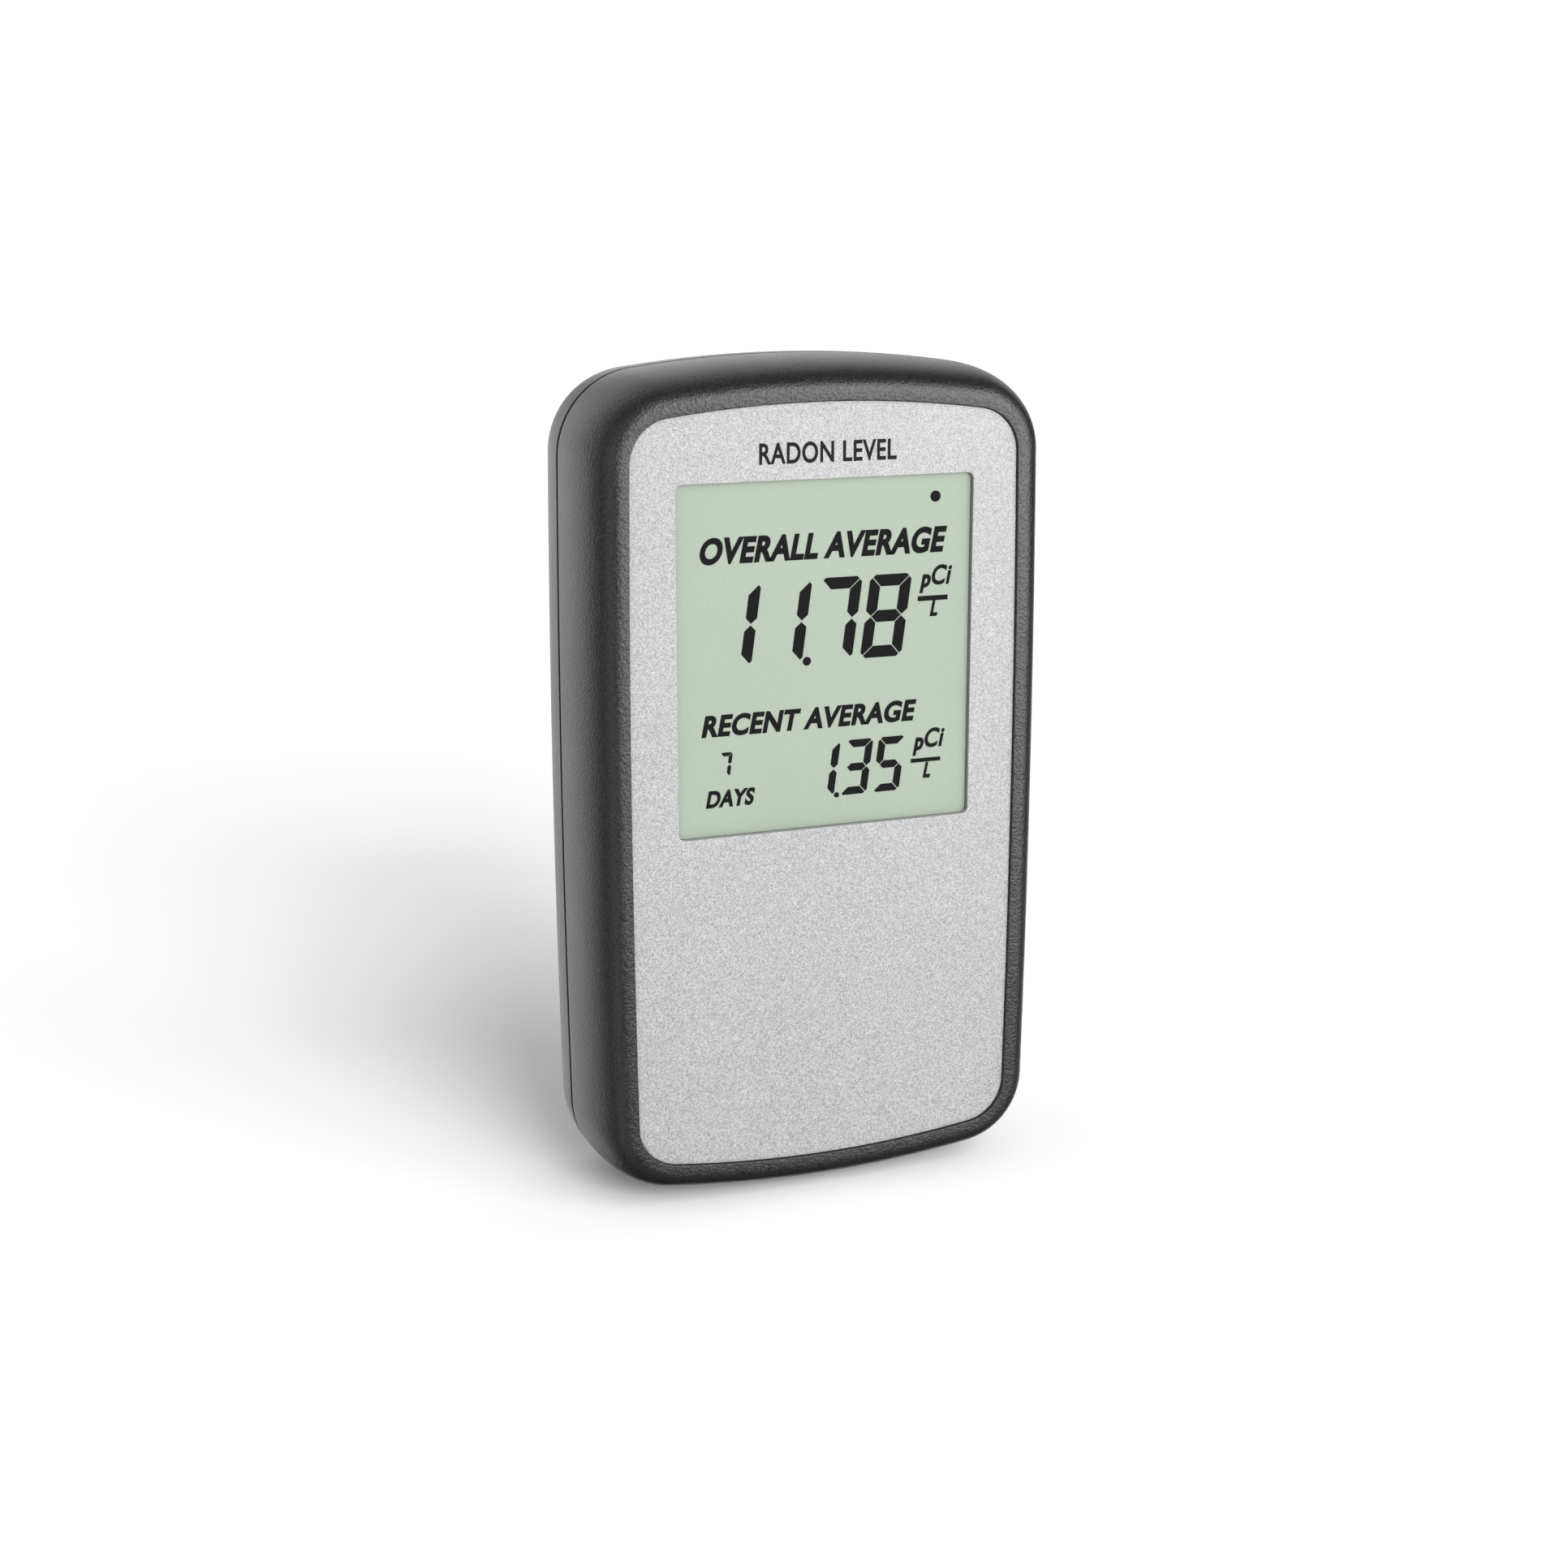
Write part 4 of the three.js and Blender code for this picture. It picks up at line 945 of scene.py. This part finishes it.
def build_turned_pieces():
    for name, place in BUTTON_PLACES.items():
        stand_in(pin_button(name, place), f"{name}_button", f"{name}_button")
    for i, place in enumerate(SCREW_PLACES, 1):
        node = f"case_screw_{i}"
        stand_in(cross_screw(f"cross_head_{i}", node, place), "case", node)
    for i in range(1, 4):
        cell = f"battery_{i}"
        stand_in(battery(f"cell_{i}", cell), "case", cell)
        spring = f"contact_spring_{i}"
        stand_in(coil_spring(f"coil_{i}", spring, centre(cell)), "case", spring)


# ---------------------------------------------------------------- display characters


SEGMENTS = {"1": "bc", "3": "abgcd", "5": "afgcd", "7": "abc", "8": "abcdefg"}
SEGMENT_BEVEL = 0.42  # of the stroke
SEGMENT_TIP = 0.45  # of the stroke


def digit_segments(width, height, stroke, gap):
    """Outlines (x, z) of the seven segments a to g of a digit that stands on z = 0."""
    middle, bevel = height / 2, stroke * SEGMENT_BEVEL
    top = [
        (bevel + gap, height), (width - bevel - gap, height),
        (width - bevel / 2 - gap, height - bevel / 2), (width - stroke - gap, height - stroke),
        (stroke + gap, height - stroke), (bevel / 2 + gap, height - bevel / 2),
    ]
    upper_left = [
        (0, height - bevel - gap), (bevel / 2, height - bevel / 2 - gap),
        (stroke, height - stroke - gap), (stroke, middle + stroke / 2 + gap),
        (stroke / 2, middle + gap), (0, middle + stroke * SEGMENT_TIP + gap),
    ]
    bar = [
        (stroke / 2 + gap, middle), (stroke + gap, middle + stroke / 2),
        (width - stroke - gap, middle + stroke / 2), (width - stroke / 2 - gap, middle),
        (width - stroke - gap, middle - stroke / 2), (stroke + gap, middle - stroke / 2),
    ]

    def mirrored(points, across=False, down=False):
        return [(width - x if across else x, height - z if down else z) for x, z in points]

    return {
        "a": top, "d": mirrored(top, down=True), "g": bar,
        "f": upper_left, "b": mirrored(upper_left, across=True),
        "e": mirrored(upper_left, down=True), "c": mirrored(upper_left, across=True, down=True),
    }


def prism(bm, points, front_y, back_y):
    """A thin straight-sided shape between two depths."""
    front = add_ring(bm, at_depth(points, front_y))
    back = add_ring(bm, at_depth(points, back_y))
    bm.faces.new(front)
    bm.faces.new(back)
    bridge(bm, front, back)


def number(bm, digits, x, z, width, height, stroke, pitch, gap):
    """A row of slanted seven-segment digits whose first digit box starts at x."""
    shapes = digit_segments(width, height, stroke, gap)
    for i, digit in enumerate(digits):
        for letter in SEGMENTS[digit]:
            points = [(x + i * pitch + px + DIGIT_SLANT * pz, z + pz) for px, pz in shapes[letter]]
            prism(bm, points, INK_FRONT_Y, INK_BACK_Y)


def dot(bm, x, z, radius):
    prism(bm, circle(x, z, radius, steps=28), INK_FRONT_Y, INK_BACK_Y)


def lettering(bm, text, x, z, cap_height, condense, weight,
              slant=LETTER_SLANT, front_y=INK_FRONT_Y):
    """Adds thin raised letters, slanted and condensed, whose baseline starts at (x, z)."""
    half_depth = 0.5
    curve = bpy.data.curves.new("letters", "FONT")
    curve.body = text
    curve.offset = weight
    curve.extrude = half_depth
    curve.space_character = LETTER_SPACING
    curve.resolution_u = 6
    writer = bpy.data.objects.new("letters", curve)
    bpy.context.scene.collection.objects.link(writer)
    graph = bpy.context.evaluated_depsgraph_get()
    mesh = bpy.data.meshes.new_from_object(writer.evaluated_get(graph))
    scale = cap_height / (FONT_CAP_HEIGHT + 2 * weight)
    start = min(v.co.x for v in mesh.vertices)
    for vertex in mesh.vertices:
        across, up, out = vertex.co
        rise = (up + weight) * scale
        y = front_y + INK_THICKNESS * (half_depth - out)
        vertex.co = (x + (across - start) * scale * condense + slant * rise, y, z + rise)
    bm.from_mesh(mesh)
    bpy.data.objects.remove(writer)
    bpy.data.curves.remove(curve)
    bpy.data.meshes.remove(mesh)


def unit_stack(bm, x, z, bar_thickness, bar_width=4.61):
    """A ratio of two unit symbols, one over the other with a bar between them."""
    end, under = x + bar_width, z - bar_thickness
    prism(bm, [(x, z), (end, z), (end, under), (x, under)], INK_FRONT_Y, INK_BACK_Y)
    lettering(bm, "p", x + 0.40, z + 1.2, cap_height=2.65, condense=0.8, weight=0.045)
    lettering(bm, "Ci", x + 1.85, z + 1.5, cap_height=2.8, condense=0.84, weight=0.028)
    lettering(bm, "L", x + 1.87, z - 2.95, cap_height=2.3, condense=0.75, weight=0.045)


def upper_readout():
    bm = bmesh.new()
    number(bm, "1178", x=-17.32, z=78.47, width=6.28, height=11.65,
           stroke=1.65, pitch=7.49, gap=0.1)
    dot(bm, x=-2.79, z=78.63, radius=0.62)
    unit_stack(bm, x=13.9, z=86.72, bar_thickness=0.7)
    return new_object("upper_readout", bm, INK)


def lower_readout():
    bm = bmesh.new()
    number(bm, "135", x=-2.83, z=59.02, width=4.13, height=7.9,
           stroke=1.1, pitch=5.0, gap=0.09)
    dot(bm, x=1.76, z=59.14, radius=0.39)
    unit_stack(bm, x=13.17, z=63.36, bar_thickness=0.58)
    number(bm, "7", x=-16.06, z=63.24, width=1.85, height=3.43,
           stroke=0.52, pitch=0, gap=0.05)
    return new_object("lower_readout", bm, INK)


def display_captions():
    bm = bmesh.new()
    lettering(bm, "OVERALL AVERAGE", x=-18.68, z=92.82,
              cap_height=3.62, condense=0.842, weight=0.045)
    lettering(bm, "RECENT AVERAGE", x=-18.33, z=68.97,
              cap_height=3.05, condense=0.922, weight=0.042)
    lettering(bm, "DAYS", x=-17.78, z=58.92, cap_height=2.45, condense=0.85, weight=0.042)
    dot(bm, x=16.4, z=100.65, radius=0.78)
    return new_object("display_captions", bm, INK)


def panel_caption():
    bm = bmesh.new()
    lettering(bm, "RADON LEVEL", x=-10.08, z=106.1,
              cap_height=2.85, condense=0.76, weight=0.022,
              slant=0, front_y=PANEL_Y - INK_THICKNESS)
    return new_object("panel_caption", bm, PRINT)


def build_characters():
    for make in (upper_readout, lower_readout, display_captions, panel_caption):
        piece = make()
        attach(piece, "case")


# ---------------------------------------------------------------- finishes of the shown CAD nodes


def paint_cad_nodes():
    finishes = {
        "main_board": BOARD, "lcd_reflector": REFLECTOR, "inlet_filter": FELT,
        "storage_capacitor": ALUMINIUM, "sensor_shield": STEEL, "clock_crystal": STEEL,
        "lcd_carrier": BLACK, "microcontroller": BLACK, "amplifier_chip": BLACK,
        "reset_switch": BLACK, "mode_switch": BLACK, "chamber_cup": BLACK, "photodiode": BLACK,
        "contact_strip_upper": RUBBER, "contact_strip_lower": RUBBER, "chamber_gasket": RUBBER,
        "terminal_plate_positive": STEEL, "terminal_plate_negative": STEEL,
        "link_plate_left": STEEL, "link_plate_right": STEEL,
    }
    for i in range(1, 5):
        finishes[f"board_screw_{i}"] = STEEL
    for node, material in finishes.items():
        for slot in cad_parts[node].material_slots:
            slot.material = material


build_enclosure()
build_turned_pieces()
build_characters()
paint_cad_nodes()


# ---------------------------------------------------------------- stage, camera and lights


# The floor's half width in millimetres, and its grey.
FLOOR_REACH, FLOOR_GREY = 4000, 0.8

# The camera looks at its target from a distance, in millimetres, at two angles in degrees.
CAMERA_TARGET = Vector((-6.43, PANEL_LOW.y, 61.60))
CAMERA_AZIMUTH, CAMERA_ELEVATION, CAMERA_DISTANCE = -21.126, 14.013, 326.72
CAMERA_LENS, SENSOR_WIDTH, CLIP_START = 53.81, 36.0, 0.01

# The even light from all round, and how bright it looks to the camera.
WORLD_STRENGTH, WHITE_TO_CAMERA = 0.578, 1.05

# Key lights: name, azimuth, elevation and spread in degrees, and strength on the floor. The
# object gets a share of it.
KEYS = (("wide", 20, 30, 55, 2.74), ("low", 5, 20, 30, 2.94))
OBJECT_SHARE = 0.2

# Soft patches of sky that only show in reflections, described in the same way.
CARDS = (
    ("back", -180, 45, 45, 0.37), ("back", -150, 45, 45, 0.27), ("back", -180, 10, 45, 0.29),
    ("back", -150, 10, 45, 0.63), ("back", -150, -25, 45, 0.56), ("back", 180, -14, 30, 0.2),
    ("left", -120, 10, 45, 0.11), ("left", -60, 10, 45, 0.51), ("left", -60, -25, 45, 0.28),
    ("left", -30, 45, 45, 0.16), ("left", -30, -25, 45, 0.16), ("right", 120, -25, 45, 0.14),
    ("right", 150, 10, 45, 0.68), ("right", 150, -25, 45, 0.76),
)


def make_floor():
    """A wide pale floor that neither shows in reflections nor casts a shadow."""
    bm = bmesh.new()
    bmesh.ops.create_grid(bm, x_segments=2, y_segments=2, size=FLOOR_REACH)
    material, _, _, shader = node_material("pale_floor")
    shader.inputs["Base Color"].default_value = (FLOOR_GREY, FLOOR_GREY, FLOOR_GREY, 1)
    shader.inputs["Roughness"].default_value = 0.9
    floor = new_object("floor", bm, material)
    floor.visible_glossy = False
    floor.visible_shadow = False
    return floor


def direction(azimuth, elevation):
    """Azimuth 0 is straight in front of the display, and 90 is to its right."""
    a, e = math.radians(azimuth), math.radians(elevation)
    return Vector((math.sin(a) * math.cos(e), -math.cos(a) * math.cos(e), math.sin(e)))


def aim(obj, target, azimuth, elevation, distance):
    """Places obj at a distance from the target and turns it to face the target, in millimetres."""
    back = direction(azimuth, elevation)
    obj.location = (target + back * distance) * MM
    obj.rotation_euler = back.to_track_quat("Z", "Y").to_euler()


def make_camera():
    data = bpy.data.cameras.new("camera")
    data.sensor_width = SENSOR_WIDTH
    data.lens = CAMERA_LENS
    data.clip_start = CLIP_START
    camera = bpy.data.objects.new("camera", data)
    bpy.context.scene.collection.objects.link(camera)
    aim(camera, CAMERA_TARGET, CAMERA_AZIMUTH, CAMERA_ELEVATION, CAMERA_DISTANCE)
    bpy.context.scene.camera = camera


def soft_light(name, azimuth, elevation, spread, strength, only_reflected=False):
    """A disc of sky that either lights surfaces or only shows in their reflections."""
    data = bpy.data.lights.new(name, "SUN")
    data.angle = math.radians(spread)
    data.energy = strength
    light = bpy.data.objects.new(name, data)
    bpy.context.scene.collection.objects.link(light)
    light.rotation_euler = direction(azimuth, elevation).to_track_quat("Z", "Y").to_euler()
    light.visible_camera = False
    light.visible_diffuse = not only_reflected
    light.visible_glossy = only_reflected
    return light


def reflector_card(name, azimuth, distance, base, top, width, radiance):
    """An upright glowing card near the object that only shows in reflections, in millimetres."""
    data = bpy.data.lights.new(name, "AREA")
    data.shape = "RECTANGLE"
    data.size, data.size_y = width * MM, (top - base) * MM
    data.energy = radiance * math.pi * data.size * data.size_y
    card = bpy.data.objects.new(name, data)
    bpy.context.scene.collection.objects.link(card)
    aim(card, Vector((0, PANEL_Y, (base + top) / 2)), azimuth, 0, distance)
    card.visible_camera = False
    card.visible_diffuse = False


def make_world():
    """Even light from all round that the camera sees as plain white."""
    world = bpy.data.worlds.new("studio")
    bpy.context.scene.world = world
    world.use_nodes = True
    nodes, links = world.node_tree.nodes, world.node_tree.links
    path = nodes.new("ShaderNodeLightPath")
    is_camera = path.outputs["Is Camera Ray"]
    strength = remap(nodes, links, is_camera, 0, 1, WORLD_STRENGTH, WHITE_TO_CAMERA)
    background = nodes["Background"]
    background.inputs["Color"].default_value = (1, 1, 1, 1)
    links.new(strength, background.inputs["Strength"])
    world.cycles_visibility.glossy = False


def make_lights(floor):
    """Key lights that cast the shadow on the floor, weaker ones for the object, and cards."""
    floor_only = bpy.data.collections.new("floor_only")
    floor_only.objects.link(floor)
    all_but_floor = bpy.data.collections.new("all_but_floor")
    all_but_floor.objects.link(floor)
    all_but_floor.collection_objects[0].light_linking.link_state = "EXCLUDE"
    for name, azimuth, elevation, spread, strength in KEYS:
        place = (azimuth, elevation, spread)
        on_floor = soft_light(f"floor_key_{name}", *place, strength)
        on_floor.light_linking.receiver_collection = floor_only
        on_object = soft_light(f"object_key_{name}", *place, strength * OBJECT_SHARE)
        on_object.light_linking.receiver_collection = all_but_floor
    reflector_card("front_card", azimuth=32, distance=450,
                   base=-60, top=550, width=430, radiance=7.0)
    for i, (side, azimuth, elevation, spread, strength) in enumerate(CARDS, 1):
        soft_light(f"{side}_card_{i}", azimuth, elevation, spread, strength, only_reflected=True)


make_camera()
make_world()
make_lights(make_floor())
bpy.context.scene.view_settings.view_transform = "Standard"
